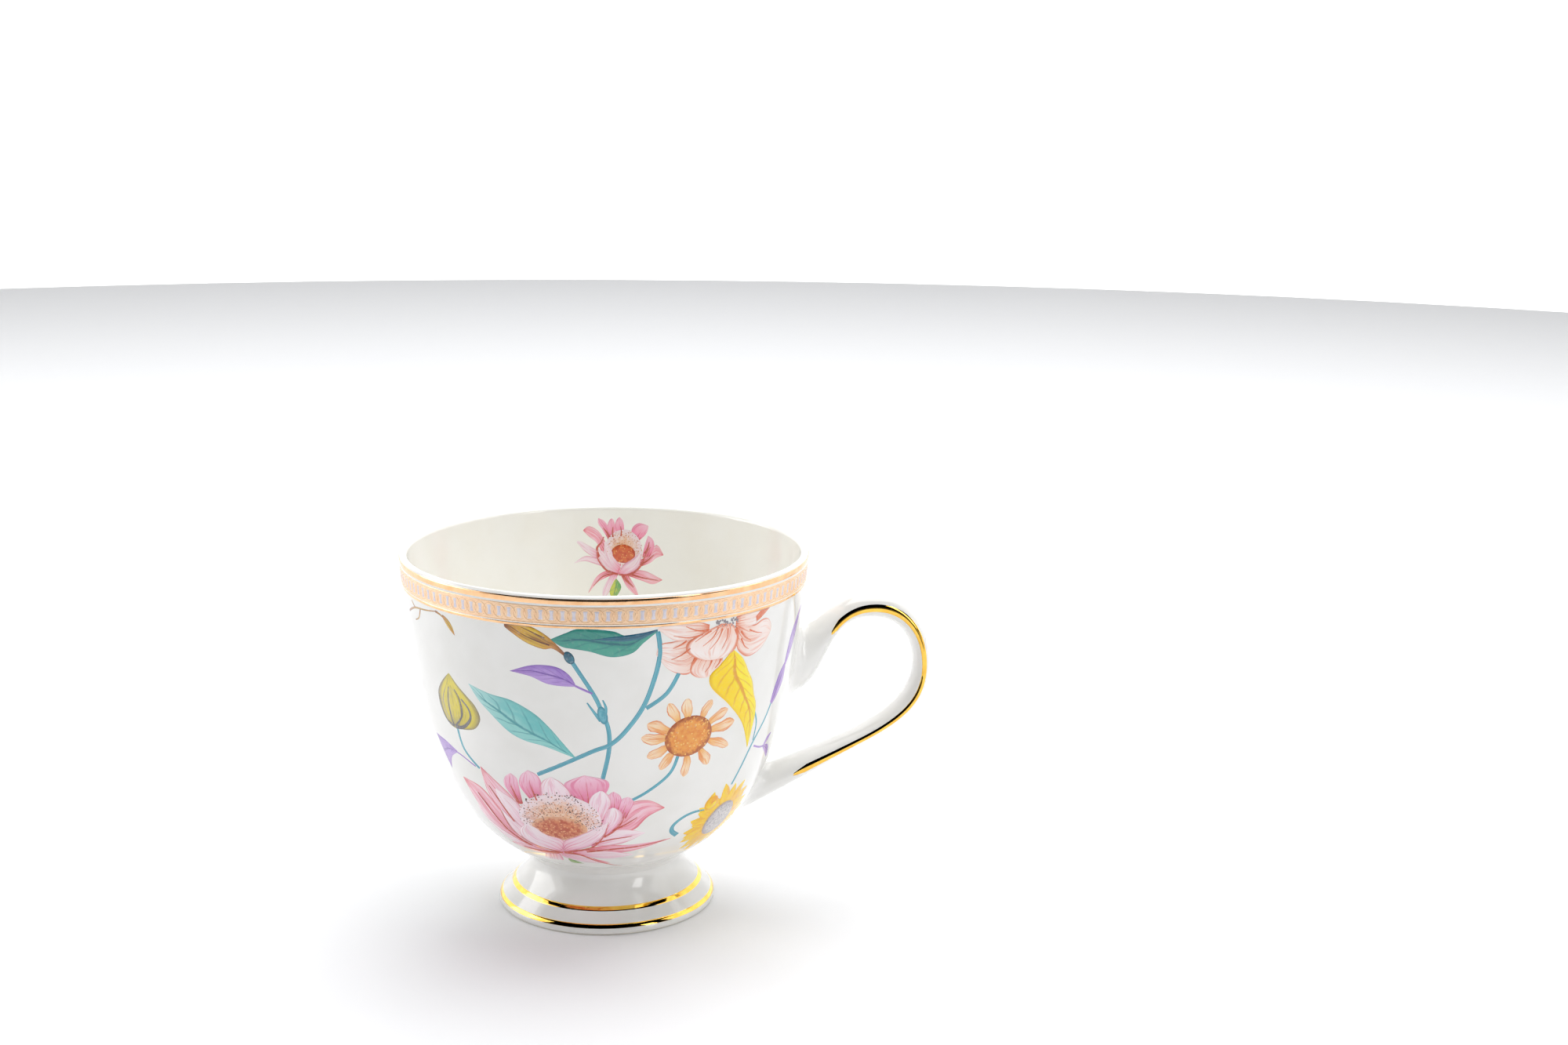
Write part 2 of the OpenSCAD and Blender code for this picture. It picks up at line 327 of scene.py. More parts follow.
# ---- Foot ------------------------------------------------------------------------------------
# The foot is a hollow flared ring of the same porcelain, thrown apart and joined on with slip.
# Its narrow resting edge is wiped clean of glaze before firing, so it is dry and a little rough.
foot_outside = [
    [(24, 0), (24.7, 0.5), (24.6, 1.5), (23.6, 2.4)],
    [(23.6, 2.4), (18.2, 7.6), (16.8, 9), (17.4, 12.7)],
]
foot_hollow = [[(13, 10), (14, 7), (20, 4), (21.5, 0)]]
dry_height = 0.35


def dry_clay(name):
    """Bare fired porcelain: cream white, fine grained and without shine."""
    finish = Finish(name)
    where = finish.place()
    grain = finish.noise(where, 3200, 3)
    colour = finish.mix(grain, ink(226, 219, 204), ink(241, 237, 228))
    return finish.surface(
        Base_Color=colour,
        Roughness=0.6 + 0.2 * grain,
        Normal=finish.bump(grain, 0.5, 0.04),
    )


foot_sides = 256
foot_profile = [(0, 10), *joined(foot_hollow, 24), *joined(foot_outside, 44)[1:], (0, 12.7)]
foot = turned("foot_ring", foot_profile, foot_sides, glaze, dry_clay("dry_resting_edge"))
for face in foot.data.polygons:
    face.material_index = 1 if face.center.z < dry_height * MM else 0
settle(foot, "porcelain", "foot")

# ---- Slip seam -------------------------------------------------------------------------------
# Liquid clay joins the bowl to its foot; wiped smooth and glazed over, it fills the corner
# between them with a soft hollow curve.
seam_foot = (17.05, 10.2)
seam_top = 17.4
seam_curve = [[seam_foot, (17.3, 13.3), (20.8, 13.9), (wall(seam_top) - 0.02, seam_top)]]
seam_spots = joined(seam_curve, 24)
seam_core = [(21, 15), (16.8, 12.4)]
seam = turned("foot_slip_fillet", [*seam_spots, *seam_core, seam_foot], foot_sides, glaze)
settle(seam, "slip", "foot_slip_seam")
# From here on wall() follows the fillet too, so that whatever is laid on the cup lies on top of it.
wall_radii, wall_heights = zip(*seam_spots, *[spot for spot in outside if spot[1] > seam_top])

# ---- Handle ----------------------------------------------------------------------------------
# One pressed loop of porcelain, like a flattened ring, stuck to the bowl at both ends while the
# clay was leather hard. Its two edge lines are (distance from the axis, height) curves.
strap_outer = [
    [(40, 60.5), (48, 60.5), (51, 69.3), (60.5, 69.3)],
    [(60.5, 69.3), (69, 69.3), (74, 62), (74, 52.5)],
    [(74, 52.5), (74, 43.5), (69.5, 39.3), (59, 34)],
    [(59, 34), (49, 29), (38, 22), (26, 17.5)],
]
strap_inner = [
    [(39, 46), (52, 46), (47, 63.6), (60, 63.6)],
    [(60, 63.6), (66.5, 63.6), (70.5, 58.5), (70.5, 52)],
    [(70.5, 52), (70.5, 45.5), (65.5, 41.2), (58, 37.5)],
    [(58, 37.5), (50, 33.8), (40, 30.5), (30, 27)],
]
half_strap = 4.3
root_flare = 1.5
root_share = 6
strap_steps = 34
buried = 0.9
strap_lines = list(zip(joined(strap_outer, strap_steps), joined(strap_inner, strap_steps)))


def strap_point(station, angle, swell=0.0):
    """A point on the strap's section at a station: angle 0 is its outer edge, 90 its front face."""
    (outer_x, outer_z), (inner_x, inner_z) = strap_lines[station]
    run = station / (len(strap_lines) - 1)
    end = max(0, 1 - root_share * min(run, 1 - run))
    middle_x, middle_z = (outer_x + inner_x) / 2, (outer_z + inner_z) / 2
    thick = math.hypot(outer_x - inner_x, outer_z - inner_z) / 2
    grow = 1 + swell / thick
    reach = math.cos(angle) * grow
    x = middle_x + (outer_x - inner_x) / 2 * reach
    z = middle_z + (outer_z - inner_z) / 2 * reach
    y = -math.sin(angle) * (half_strap + root_flare * end * end + swell)
    hidden = wall(z) - buried
    out = math.hypot(x, y)
    if out < hidden:
        x, y = x * hidden / out, y * hidden / out
    return x * MM, y * MM, z * MM


def swept(name, rows, closed, *finishes):
    """A mesh skin over rows of points; closed rows are tubes with flat ends."""
    across = len(rows[0])
    points = [point for row in rows for point in row]
    faces = []
    for row in range(len(rows) - 1):
        for column in range(across if closed else across - 1):
            after = (column + 1) % across
            low, high = row * across, (row + 1) * across
            faces.append((low + column, high + column, high + after, low + after))
    if closed:
        faces.append(tuple(range(across)))
        faces.append(tuple(range((len(rows) - 1) * across, len(rows) * across))[::-1])
    return piece(name, points, faces, *finishes)


section_sides = 48
turns = [math.tau * side / section_sides for side in range(section_sides)]
handle_rows = [[strap_point(station, angle) for angle in turns] for station in range(len(strap_lines))]
handle = swept("handle_strap", handle_rows, True, glaze)
settle(handle, "porcelain", "handle")

# ---- Handle slip joints ----------------------------------------------------------------------
# The slip that squeezes out round each root of the handle is drawn with a wet brush into a
# fillet, so that strap and bowl run into each other.
fillet_steps = 12
fillet_reach = 5
root_stations = 60


def strap_edges(station):
    """The strap's outer and inner edge points at a station."""
    (outer_x, outer_z), (inner_x, inner_z) = strap_lines[station]
    return Vector((outer_x, 0, outer_z)) * MM, Vector((inner_x, 0, inner_z)) * MM


def root_fillet(name, stations):
    """A hollow-curved collar round the strap where it meets the bowl, from strap to wall."""
    rows = []
    for angle in turns:
        line = [Vector(strap_point(station, angle)) for station in stations]
        meeting = next(
            (n for n, p in enumerate(line) if math.hypot(p.x, p.y) > wall(p.z / MM) * MM),
            len(line) - 1,
        )
        start = line[min(meeting + fillet_reach, len(line) - 1)]
        corner = line[meeting]
        centre = sum(strap_edges(stations[meeting]), Vector()) / 2
        away = corner - centre
        rim = corner + away.normalized() * (start - corner).length
        flat = math.hypot(rim.x, rim.y)
        touch = (wall(rim.z / MM) - 0.08) * MM
        rim = Vector((rim.x * touch / flat, rim.y * touch / flat, rim.z))
        inward = (centre - start).normalized() * 0.05 * MM
        row = []
        for step in range(fillet_steps + 1):
            t = step / fillet_steps
            row.append(tuple((start + inward) * (1 - t) ** 2 + corner * 2 * t * (1 - t) + rim * t * t))
        rows.append(row)
    rows.append(rows[0])
    return swept(name, rows, False, glaze)


strap_stations = list(range(len(strap_lines)))
upper = root_fillet("handle_upper_fillet", strap_stations[:root_stations])
settle(upper, "slip", "handle_upper_slip")
lower = root_fillet("handle_lower_fillet", strap_stations[::-1][:root_stations])
settle(lower, "slip", "handle_lower_slip")

# ---- Gold lines ------------------------------------------------------------------------------
# Bright gold is painted on over the glaze with a loaded brush while the cup turns on a wheel,
# then fired on; the handle's two ridges are lined by hand.
gold_lift = 0.05


def bright_gold(name, low, high, rough):
    """Fired liquid gold: mirror bright, slightly thin and brush marked in places."""
    finish = Finish(name)
    where = finish.place()
    thin = finish.noise(where, 420, 3)
    brush = finish.noise(where, 1900, 2)
    colour = finish.mix(thin.step(0.3, 0.75), high, low)
    return finish.surface(
        Base_Color=colour,
        Metallic=1.0,
        Roughness=rough + 0.04 * thin.step(0.4, 0.8),
        Normal=finish.bump(brush, 0.15, 0.02),
    )


gold = bright_gold("bright_gold", ink(240, 186, 78), ink(253, 208, 96), 0.045)
rose_gold = bright_gold("rose_gold", ink(238, 184, 134), ink(250, 204, 158), 0.06)


def banded(name, curve, low, high, finish, lift=gold_lift, rows=8):
    """A thin band laid round a turned wall between two heights, with its edges sunk in the glaze."""
    profile = []
    for row in range(rows + 1):
        t = row / rows
        height = low + (high - low) * t
        raised = lift * (1 - (2 * t - 1) ** 6) - 0.015
        profile.append((curve(height) + raised, height))
    backing = [(curve(height) - 0.06, height) for height in (high, low)]
    return turned(name, [*profile, *backing, profile[0]], cup_sides, finish)


foot_points = joined(foot_outside, 60)
foot_heights = [height for radius, height in foot_points]
foot_radii = [radius for radius, height in foot_points]


def foot_wall(height):
    """Outside radius of the foot."""
    return reading(height, foot_heights, foot_radii)


settle(banded("rim_gold", wall, 79.6, 80.85, rose_gold), "gold", "rim_gold_line")
settle(banded("band_lower_gold", wall, 74.6, 75.2, rose_gold), "gold", "filigree_under_line")
settle(banded("foot_gold_upper", foot_wall, 4.4, 5.3, gold), "gold", "foot_upper_gold_line")
settle(banded("foot_gold_lower", foot_wall, 1.5, 2.4, gold), "gold", "foot_lower_gold_line")

first_gilded = 19
last_gilded = len(strap_lines) - 16
gild_half = math.radians(20)
for side_name, middle in (("front", math.pi / 2), ("back", -math.pi / 2)):
    rows = []
    for station in range(first_gilded, last_gilded + 1):
        end = min(station - first_gilded, last_gilded - station)
        narrow = min(1, 0.3 + end / 4)
        row = []
        for step in range(9):
            t = step / 4 - 1
            swell = gold_lift * (1 - t ** 6) - 0.02
            row.append(strap_point(station, middle + t * gild_half * narrow, swell))
        rows.append(row)
    line = swept("handle_gold_" + side_name, rows, False, gold)
    settle(line, "gold", f"handle_{side_name}_gold_line")

# ---- Filigree band ---------------------------------------------------------------------------
# Under the rim runs a printed band of gold lustre: a rosy ground edged by fine double lines,
# with a chain of interlaced rings and, in each link, a small spindle of pale grey painted shade.
band_low, band_high = 75.2, 79.4
links = 122
link_high = 3.1
link_wide = 3.1
line_half = 0.15
ring_section = [(-1, 0), (-0.4, 0.045), (0.4, 0.045), (1, 0)]
spindle_section = [(-1, 0), (-0.5, 0.06), (0.5, 0.06), (1, 0)]


def lustre(name, colour, deep, rough, metal):
    """Thin printed gold lustre with an uneven, slightly rubbed film; the spindles' pale grey painted shade
    is made with it too.
    """
    finish = Finish(name)
    where = finish.place()
    wear = finish.noise(where, 700, 3)
    shade = finish.mix(wear.step(0.3, 0.7), colour, deep)
    return finish.surface(
        Base_Color=shade,
        Metallic=metal,
        Roughness=rough + 0.1 * wear,
        Normal=finish.bump(wear, 0.2, 0.02),
    )


ground_lustre = lustre("band_ground_lustre", ink(252, 218, 184), ink(248, 208, 172), 0.3, 0.45)
ring_gold = lustre("band_ring_gold", ink(252, 212, 172), ink(248, 202, 158), 0.2, 0.5)
# The spindles' pale grey is painted shade: it stands for the bare porcelain inside each link, lying in
# shade.
spindle_shade_grey = lustre("band_pale_lustre", ink(224, 220, 228), ink(212, 208, 220), 0.22, 0.25)
ground = banded("band_ground", wall, band_low, band_high, ground_lustre, 0.04, 12)
settle(ground, "band_lustre", "filigree_band")
for order, height in enumerate((band_low + 0.34, band_high - 0.34)):
    edge = banded(f"band_edge_line_{order}", wall, height - 0.1, height + 0.1, ring_gold, 0.07, 4)
    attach(edge, "root")


def on_band(turn, height, lift):
    """A point on the outside wall by its turn round the axis, in metres."""
    radius = wall(height) + lift
    return radius * math.cos(turn) * MM, radius * math.sin(turn) * MM, height * MM


ring_points, ring_faces, pale_points, pale_faces = [], [], [], []
ring_steps = 28
spindle_rows = 9
band_middle = (band_low + band_high) / 2
for link in range(links):
    middle = math.tau * link / links
    start = len(ring_points)
    for step in range(ring_steps):
        angle = math.tau * step / ring_steps
        weave = 0.02 * math.sin(2 * angle + 0.8)
        for across, lift in ring_section:
            half_u = link_wide / 2 - line_half + across * line_half
            half_v = link_high / 2 - line_half + across * line_half
            turn = middle + half_u * math.cos(angle) / wall(band_middle)
            ring_points.append(on_band(turn, band_middle + half_v * math.sin(angle), lift + weave))
    for step in range(ring_steps):
        after = (step + 1) % ring_steps
        for lane in range(3):
            near, far = start + 4 * step + lane, start + 4 * after + lane
            ring_faces.append((near, near + 1, far + 1, far))
    start = len(pale_points)
    for row in range(spindle_rows):
        t = 2 * row / (spindle_rows - 1) - 1
        half = 0.4 + 0.34 * abs(t) ** 2.6
        height = band_middle + t * (link_high / 2 - 0.42)
        for across, lift in spindle_section:
            turn = middle + half * across / wall(band_middle)
            pale_points.append(on_band(turn, height, lift if 0 < row < spindle_rows - 1 else 0))
    for row in range(spindle_rows - 1):
        for lane in range(3):
            low = start + 4 * row + lane
            pale_faces.append((low, low + 1, low + 5, low + 4))
for made in (
    piece("band_rings", ring_points, ring_faces, ring_gold),
    piece("band_spindles", pale_points, pale_faces, spindle_shade_grey),
):
    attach(made, "root")

# ---- Lotus -----------------------------------------------------------------------------------
# The large pink lotus low on the front: transfer-printed overglaze enamel, fired into the glaze
# so that each petal is a skin a few hundredths of a millimetre proud of the wall.
film = 0.02
layer_film = 0.011
sunk_edge = -0.015
skirt = 0.12
lane_wide = 0.9
row_long = 0.6
slope_reach = 0.3
band_foot = 74.58
inner_top = 79.6


def through(spots, steps):
    """A smooth line through given spots, as (u, v) points."""
    ends = [spots[0], *spots, spots[-1]]
    line = []
    for before, start, stop, after in zip(ends, ends[1:], ends[2:], ends[3:]):
        for step in range(steps):
            t = step / steps
            spot = []
            for a, b, c, d in zip(before, start, stop, after):
                square = 2 * a - 5 * b + 4 * c - d
                cube = 3 * b - a - 3 * c + d
                spot.append(0.5 * (2 * b + (c - a) * t + square * t ** 2 + cube * t ** 3))
            line.append(tuple(spot))
    return [*line, spots[-1]]


def evenly(spots, rows):
    """Equal steps along a smooth line through given spots."""
    line = through(spots, 8)
    runs = [0.0]
    for before, after in zip(line, line[1:]):
        runs.append(runs[-1] + math.dist(before, after))
    found = []
    for row in range(rows + 1):
        goal = runs[-1] * row / rows
        after = min(max(bisect.bisect(runs, goal), 1), len(runs) - 1)
        share = (goal - runs[after - 1]) / (runs[after] - runs[after - 1] or 1)
        found.append(tuple(a + (b - a) * share for a, b in zip(line[after - 1], line[after])))
    return found


class Transfer:
    """Enamel shapes for one piece, drawn in millimetres round a place on the wall: u runs to the
    right and v up for whoever looks at the painted side."""

    def __init__(self, azimuth, height, within=False):
        self.within = within
        self.points = []
        self.faces = []
        self.marks = []
        self.paints = []
        self.hidden = []
        self.move(azimuth, height)

    def move(self, azimuth, height):
        self.azimuth = math.radians(azimuth)
        self.height = height
        return self

    def lay(self, u, v, lift, mark):
        radius_at = inner_wall if self.within else wall
        top = inner_top if self.within else band_foot
        facing = -1 if self.within else 1
        height = min(self.height + v, top)
        radius = radius_at(height)
        rise_out = radius_at(height + slope_reach) - radius_at(height - slope_reach)
        slope = rise_out / (2 * slope_reach)
        tall = math.hypot(1, slope)
        turn = self.azimuth + facing * math.asin(max(-0.95, min(0.95, u / radius)))
        out = radius + facing * lift / tall
        rise = height - facing * lift * slope / tall
        self.points.append((out * math.cos(turn) * MM, out * math.sin(turn) * MM, rise * MM))
        self.marks.append(mark)
        self.hidden.append(self.height + v > top)

    def face(self, corners, paint):
        if all(self.hidden[corner] for corner in corners):
            return
        self.faces.append(tuple(corners) if not self.within else tuple(corners)[::-1])
        self.paints.append(paint)

    def ribbon(self, line, halves, layer, tone, paint):
        """A skin along a line, with its own half widths to the left and right of each point."""
        widest = max(sum(pair) for pair in halves)
        lanes = max(2, math.ceil(widest / lane_wide))
        level = film + layer * layer_film
        start = len(self.points)
        total = len(line) - 1
        for order, ((u, v), (left_half, right_half)) in enumerate(zip(line, halves)):
            (u0, v0), (u1, v1) = line[max(order - 1, 0)], line[min(order + 1, total)]
            length = math.hypot(u1 - u0, v1 - v0) or 1
            side_u, side_v = -(v1 - v0) / length, (u1 - u0) / length
            for lane in range(-lanes - 1, lanes + 2):
                half = left_half if lane > 0 else right_half
                inner = max(half - skirt, half * 0.6)
                reach = half if abs(lane) > lanes else inner * abs(lane) / lanes
                edge = abs(lane) > lanes or order in (0, total)
                share = math.copysign(reach / max(half, 0.001), lane) if lane else 0.0
                reach = math.copysign(reach, lane)
                spot = (u + side_u * reach, v + side_v * reach)
                self.lay(*spot, sunk_edge if edge else level, (share, order / total, tone))
        across = 2 * lanes + 3
        for order in range(total):
            for lane in range(across - 1):
                near = start + order * across + lane
                self.face((near, near + across, near + across + 1, near + 1), paint)

    def shape(self, left, right, layer=0, tone=0.5, paint=0, mid=0.0):
        """A petal or leaf between its own left and right outlines, both drawn from root to tip; mid
        is where its midrib lies between them, -1 to 1."""
        length = sum(math.dist(a, b) for a, b in zip(left, left[1:]))
        rows = max(10, math.ceil(length / row_long))
        pairs = list(zip(evenly(left, rows), evenly(right, rows)))
        widest = max(math.dist(a, b) for a, b in pairs)
        lanes = max(2, math.ceil(widest / (2 * lane_wide)))
        level = film + layer * layer_film
        start = len(self.points)
        for order, (a, b) in enumerate(pairs):
            half = max(math.dist(a, b) / 2, 0.03)
            inner = max(half - skirt, half * 0.6) / half
            for lane in range(-lanes - 1, lanes + 2):
                edge = abs(lane) > lanes
                share = math.copysign(1, lane) if edge else inner * lane / lanes
                spot = [(p + q) / 2 + (q - p) / 2 * share for p, q in zip(a, b)]
                across = (share - mid) / (1 - mid if share > mid else 1 + mid)
                sunk = edge or order in (0, rows)
                self.lay(*spot, sunk_edge if sunk else level, (across, order / rows, tone))
        width = 2 * lanes + 3
        for order in range(rows):
            for lane in range(width - 1):
                near = start + order * width + lane
                self.face((near, near + 1, near + width + 1, near + width), paint)

    def hairs(self, left, right, count, half, layer, paint, reach=0.5):
        """Fine strokes up a shape from its root, some longer than others."""
        pairs = list(zip(evenly(left, 12), evenly(right, 12)))
        for hair in range(count):
            share = (hair + 0.5) / count
            last = max(5, min(11, round(12 * reach * (0.7 + 0.16 * (hair * 7 % 5)))))
            spots = [tuple(p + (q - p) * share for p, q in zip(a, b)) for a, b in pairs[:last:2]]
            self.stroke(spots, half, layer, 0.3, paint, 0.85, 3)

    def blade(self, base, tip, half, bow=0.0, layer=0, tone=0.5, paint=0, root=0.35, belly=0.5,
              taper=1.8, blunt=1.0, ripple=0.05):
        """A petal or leaf: half is its half width, or (left, right) ones; bow bends it to its left."""
        (u0, v0), (u1, v1) = base, tip
        length = math.hypot(u1 - u0, v1 - v0)
        side_u, side_v = -(v1 - v0) / length, (u1 - u0) / length
        knee = ((u0 + u1) / 2 + 2 * bow * side_u, (v0 + v1) / 2 + 2 * bow * side_v)
        halves = half if isinstance(half, tuple) else (half, half)
        rows = max(8, math.ceil(length / 0.7))
        line, widths = [], []
        for row in range(rows + 1):
            t = 0.5 - 0.5 * math.cos(math.pi * row / rows)
            line.append(tuple(
                a * (1 - t) ** 2 + 2 * b * t * (1 - t) + c * t * t for a, b, c in zip(base, knee, tip)
            ))
            pair = []
            for order, widest in enumerate(halves):
                if t < belly:
                    share = root + (1 - root) * math.sin(math.pi / 2 * t / belly)
                else:
                    share = max(0, 1 - ((t - belly) / (1 - belly)) ** taper) ** blunt
                wave = 1 + ripple * math.sin(9 * t + 40 * tone + 2 * order) * math.sin(math.pi * t)
                pair.append(max(0.03, widest * share * wave))
            widths.append(tuple(pair))
        self.ribbon(line, widths, layer, tone, paint)

    def stroke(self, spots, half, layer=0, tone=0.5, paint=0, taper=0.0, steps=6):
        """A brush line through spots; taper is the share of its width lost at its end."""
        line = through(spots, steps)
        last = len(line) - 1
        widths = [(half * (1 - taper * n / last),) * 2 for n in range(last + 1)]
        self.ribbon(line, widths, layer, tone, paint)

    def disc(self, centre, wide, high, layer=0, tone=0.5, paint=0, tilt=0.0, dome=0.0, sides=40):
        """An oval skin with half sizes wide and high; its marks carry the distance from its centre."""
        lean = math.radians(tilt)
        level = film + layer * layer_film
        start = len(self.points)
        rings = max(2, math.ceil(max(wide, high) / lane_wide))
        shares = [(n + 1) / rings * (1 - skirt / max(wide, high)) for n in range(rings)] + [1.0]
        self.lay(*centre, level + dome, (0.0, 0.0, tone))
        for share in shares:
            for side in range(sides):
                angle = math.tau * side / sides
                u, v = wide * share * math.cos(angle), high * share * math.sin(angle)
                spot_u = centre[0] + u * math.cos(lean) - v * math.sin(lean)
                spot_v = centre[1] + u * math.sin(lean) + v * math.cos(lean)
                lift = sunk_edge if share == 1.0 else level + dome * (1 - share * share)
                self.lay(spot_u, spot_v, lift, (share, side / sides, tone))
        for side in range(sides):
            after = (side + 1) % sides
            self.face((start, start + 1 + side, start + 1 + after), paint)
            for ring in range(len(shares) - 1):
                near = start + 1 + ring * sides
                far = near + sides
                self.face((near + side, far + side, far + after, near + after), paint)

    def dot(self, spot, size, layer, tone, paint, dome=0.03):
        """A small raised dot, set down with the tip of a brush."""
        self.disc(spot, size, size, layer, tone, paint, dome=dome, sides=8)

    def make(self, name, slot, node, *finishes):
        """The finished piece, which stands for its solid node."""
        made = piece(name, self.points, self.faces, *finishes)
        made.data.polygons.foreach_set("material_index", self.paints)
        marks = made.data.attributes.new("blade", "FLOAT_VECTOR", "POINT")
        marks.data.foreach_set("vector", [value for mark in self.marks for value in mark])
        settle(made, slot, node)


paper_white = ink(246, 243, 242)


def petal_paint(name, stops, edge, streak, deep, edge_from=0.6, lines=4.0, depth=0.6,
                edge_depth=0.85, fleck=0.22, tip_from=1.2):
    """Petal enamel: colours from root to tip, fine strokes along the petal and a drawn edge."""
    finish = Finish(name)
    across, along, tone = finish.blade()
    where = finish.place()
    grain = finish.noise(where, 1300, 3)
    comb = finish.noise(finish.vector(across * lines, along * 1.3, tone * 43), 1, 3, 0.6)
    hairs = finish.noise(finish.vector(across * lines * 2.7, along * 2.1, tone * 29), 1, 2)
    colour = finish.ramp(along + (comb - 0.5) * 0.3, stops)
    colour = finish.mix(comb.step(0.49, 0.62) * depth, colour, streak)
    colour = finish.mix(hairs.step(0.54, 0.66) * depth * 0.6, colour, edge)
    colour = finish.mix(tone * 0.35, colour, deep, "MULTIPLY")
    drawn = (abs(across) + (comb - 0.5) * 0.4).step(edge_from, 1.0)
    drawn = 1 - (1 - drawn) * (1 - (along + (comb - 0.5) * 0.1).step(tip_from, tip_from + 0.06))
    colour = finish.mix(drawn * edge_depth, colour, edge)
    colour = finish.mix(grain.step(0.5, 0.8) * fleck, colour, paper_white)
    return finish.surface(
        Base_Color=colour,
        Roughness=0.09 + 0.1 * grain,
        Normal=finish.bump(grain, 0.12, 0.02),
        Coat_Weight=0.25,
        Coat_Roughness=0.04,
    )


def stipple_paint(name, ground, rim, spots, spot_size, scale=1500, rim_from=0.6):
    """Seed-head enamel: a mottled ground that changes to its rim, dotted with a fine brush."""
    finish = Finish(name)
    out = finish.blade()[0]
    where = finish.place()
    grain = finish.noise(where, 1100, 3)
    sockets = {"Vector": where, "Scale": scale, "Randomness": 1.0}
    cells = finish.node("ShaderNodeTexVoronoi", {}, sockets)
    colour = finish.mix(grain.step(0.38, 0.66), ground[0], ground[1])
    colour = finish.mix((out + (grain - 0.5) * 0.5).step(rim_from, 1.0), colour, rim)
    colour = finish.mix(cells.step(spot_size, spot_size * 0.5), colour, spots)
    return finish.surface(
        Base_Color=colour,
        Roughness=0.14 + 0.14 * grain,
        Normal=finish.bump(cells, 0.2, 0.03),
        Coat_Weight=0.2,
    )


lotus_outer = petal_paint(
    "lotus_outer_enamel",
    [(0.0, ink(220, 90, 100)), (0.22, ink(242, 166, 184)), (0.55, ink(251, 214, 226)),
     (0.84, ink(250, 206, 216)), (1.0, ink(218, 80, 70))],
    ink(226, 108, 118), ink(238, 142, 166), ink(250, 202, 214), 0.76, 4.2, 0.7, 0.8, 0.12,
)
lotus_back = petal_paint(
    "lotus_back_enamel",
    [(0.0, ink(212, 82, 112)), (0.3, ink(240, 154, 186)), (0.65, ink(250, 208, 226)),
     (1.0, ink(252, 220, 232))],
    ink(238, 150, 182), ink(232, 126, 166), ink(248, 206, 222), 0.82, 4.6, 0.8, 0.8, 0.12,
)
lotus_inner = petal_paint(
    "lotus_inner_enamel",
    [(0.0, ink(242, 178, 194)), (0.3, ink(250, 224, 234)), (1.0, ink(254, 245, 248))],
    ink(226, 132, 150), ink(238, 174, 202), ink(248, 218, 228), 0.8, 3.4, 0.6, 0.8, 0.1,
)
lotus_line = petal_paint(
    "lotus_outline_enamel",
    [(0.0, ink(206, 92, 76)), (0.6, ink(216, 110, 96)), (1.0, ink(232, 160, 156))],
    ink(214, 110, 100), ink(190, 80, 70), ink(240, 190, 180), 0.9,
)
dot_paint = petal_paint(
    "stamen_dot_enamel",
    [(0.0, ink(96, 60, 62)), (1.0, ink(140, 92, 86))],
    ink(150, 104, 92), ink(80, 52, 66), ink(210, 180, 170), 0.95,
)
pollen_field = stipple_paint(
    "lotus_pollen_enamel", (ink(240, 190, 156), ink(246, 216, 196)),
    ink(249, 230, 236), ink(206, 140, 112), 0.3, rim_from=0.3,
)
seed_head = stipple_paint(
    "lotus_seed_head_enamel", (ink(194, 98, 76), ink(222, 138, 100)),
    ink(236, 184, 150), ink(238, 182, 136), 0.38, rim_from=0.64,
)
stalk_green = petal_paint(
    "stalk_green_enamel",
    [(0.0, ink(150, 186, 110)), (0.7, ink(116, 160, 84)), (1.0, ink(96, 120, 70))],
    ink(96, 132, 74), ink(176, 204, 128), ink(210, 226, 190), 0.6,
)


# The paints of both lotuses, by their places in the lists that make() takes.
tipped, rose, pale, pollen, outline = range(5)
stalk = 5

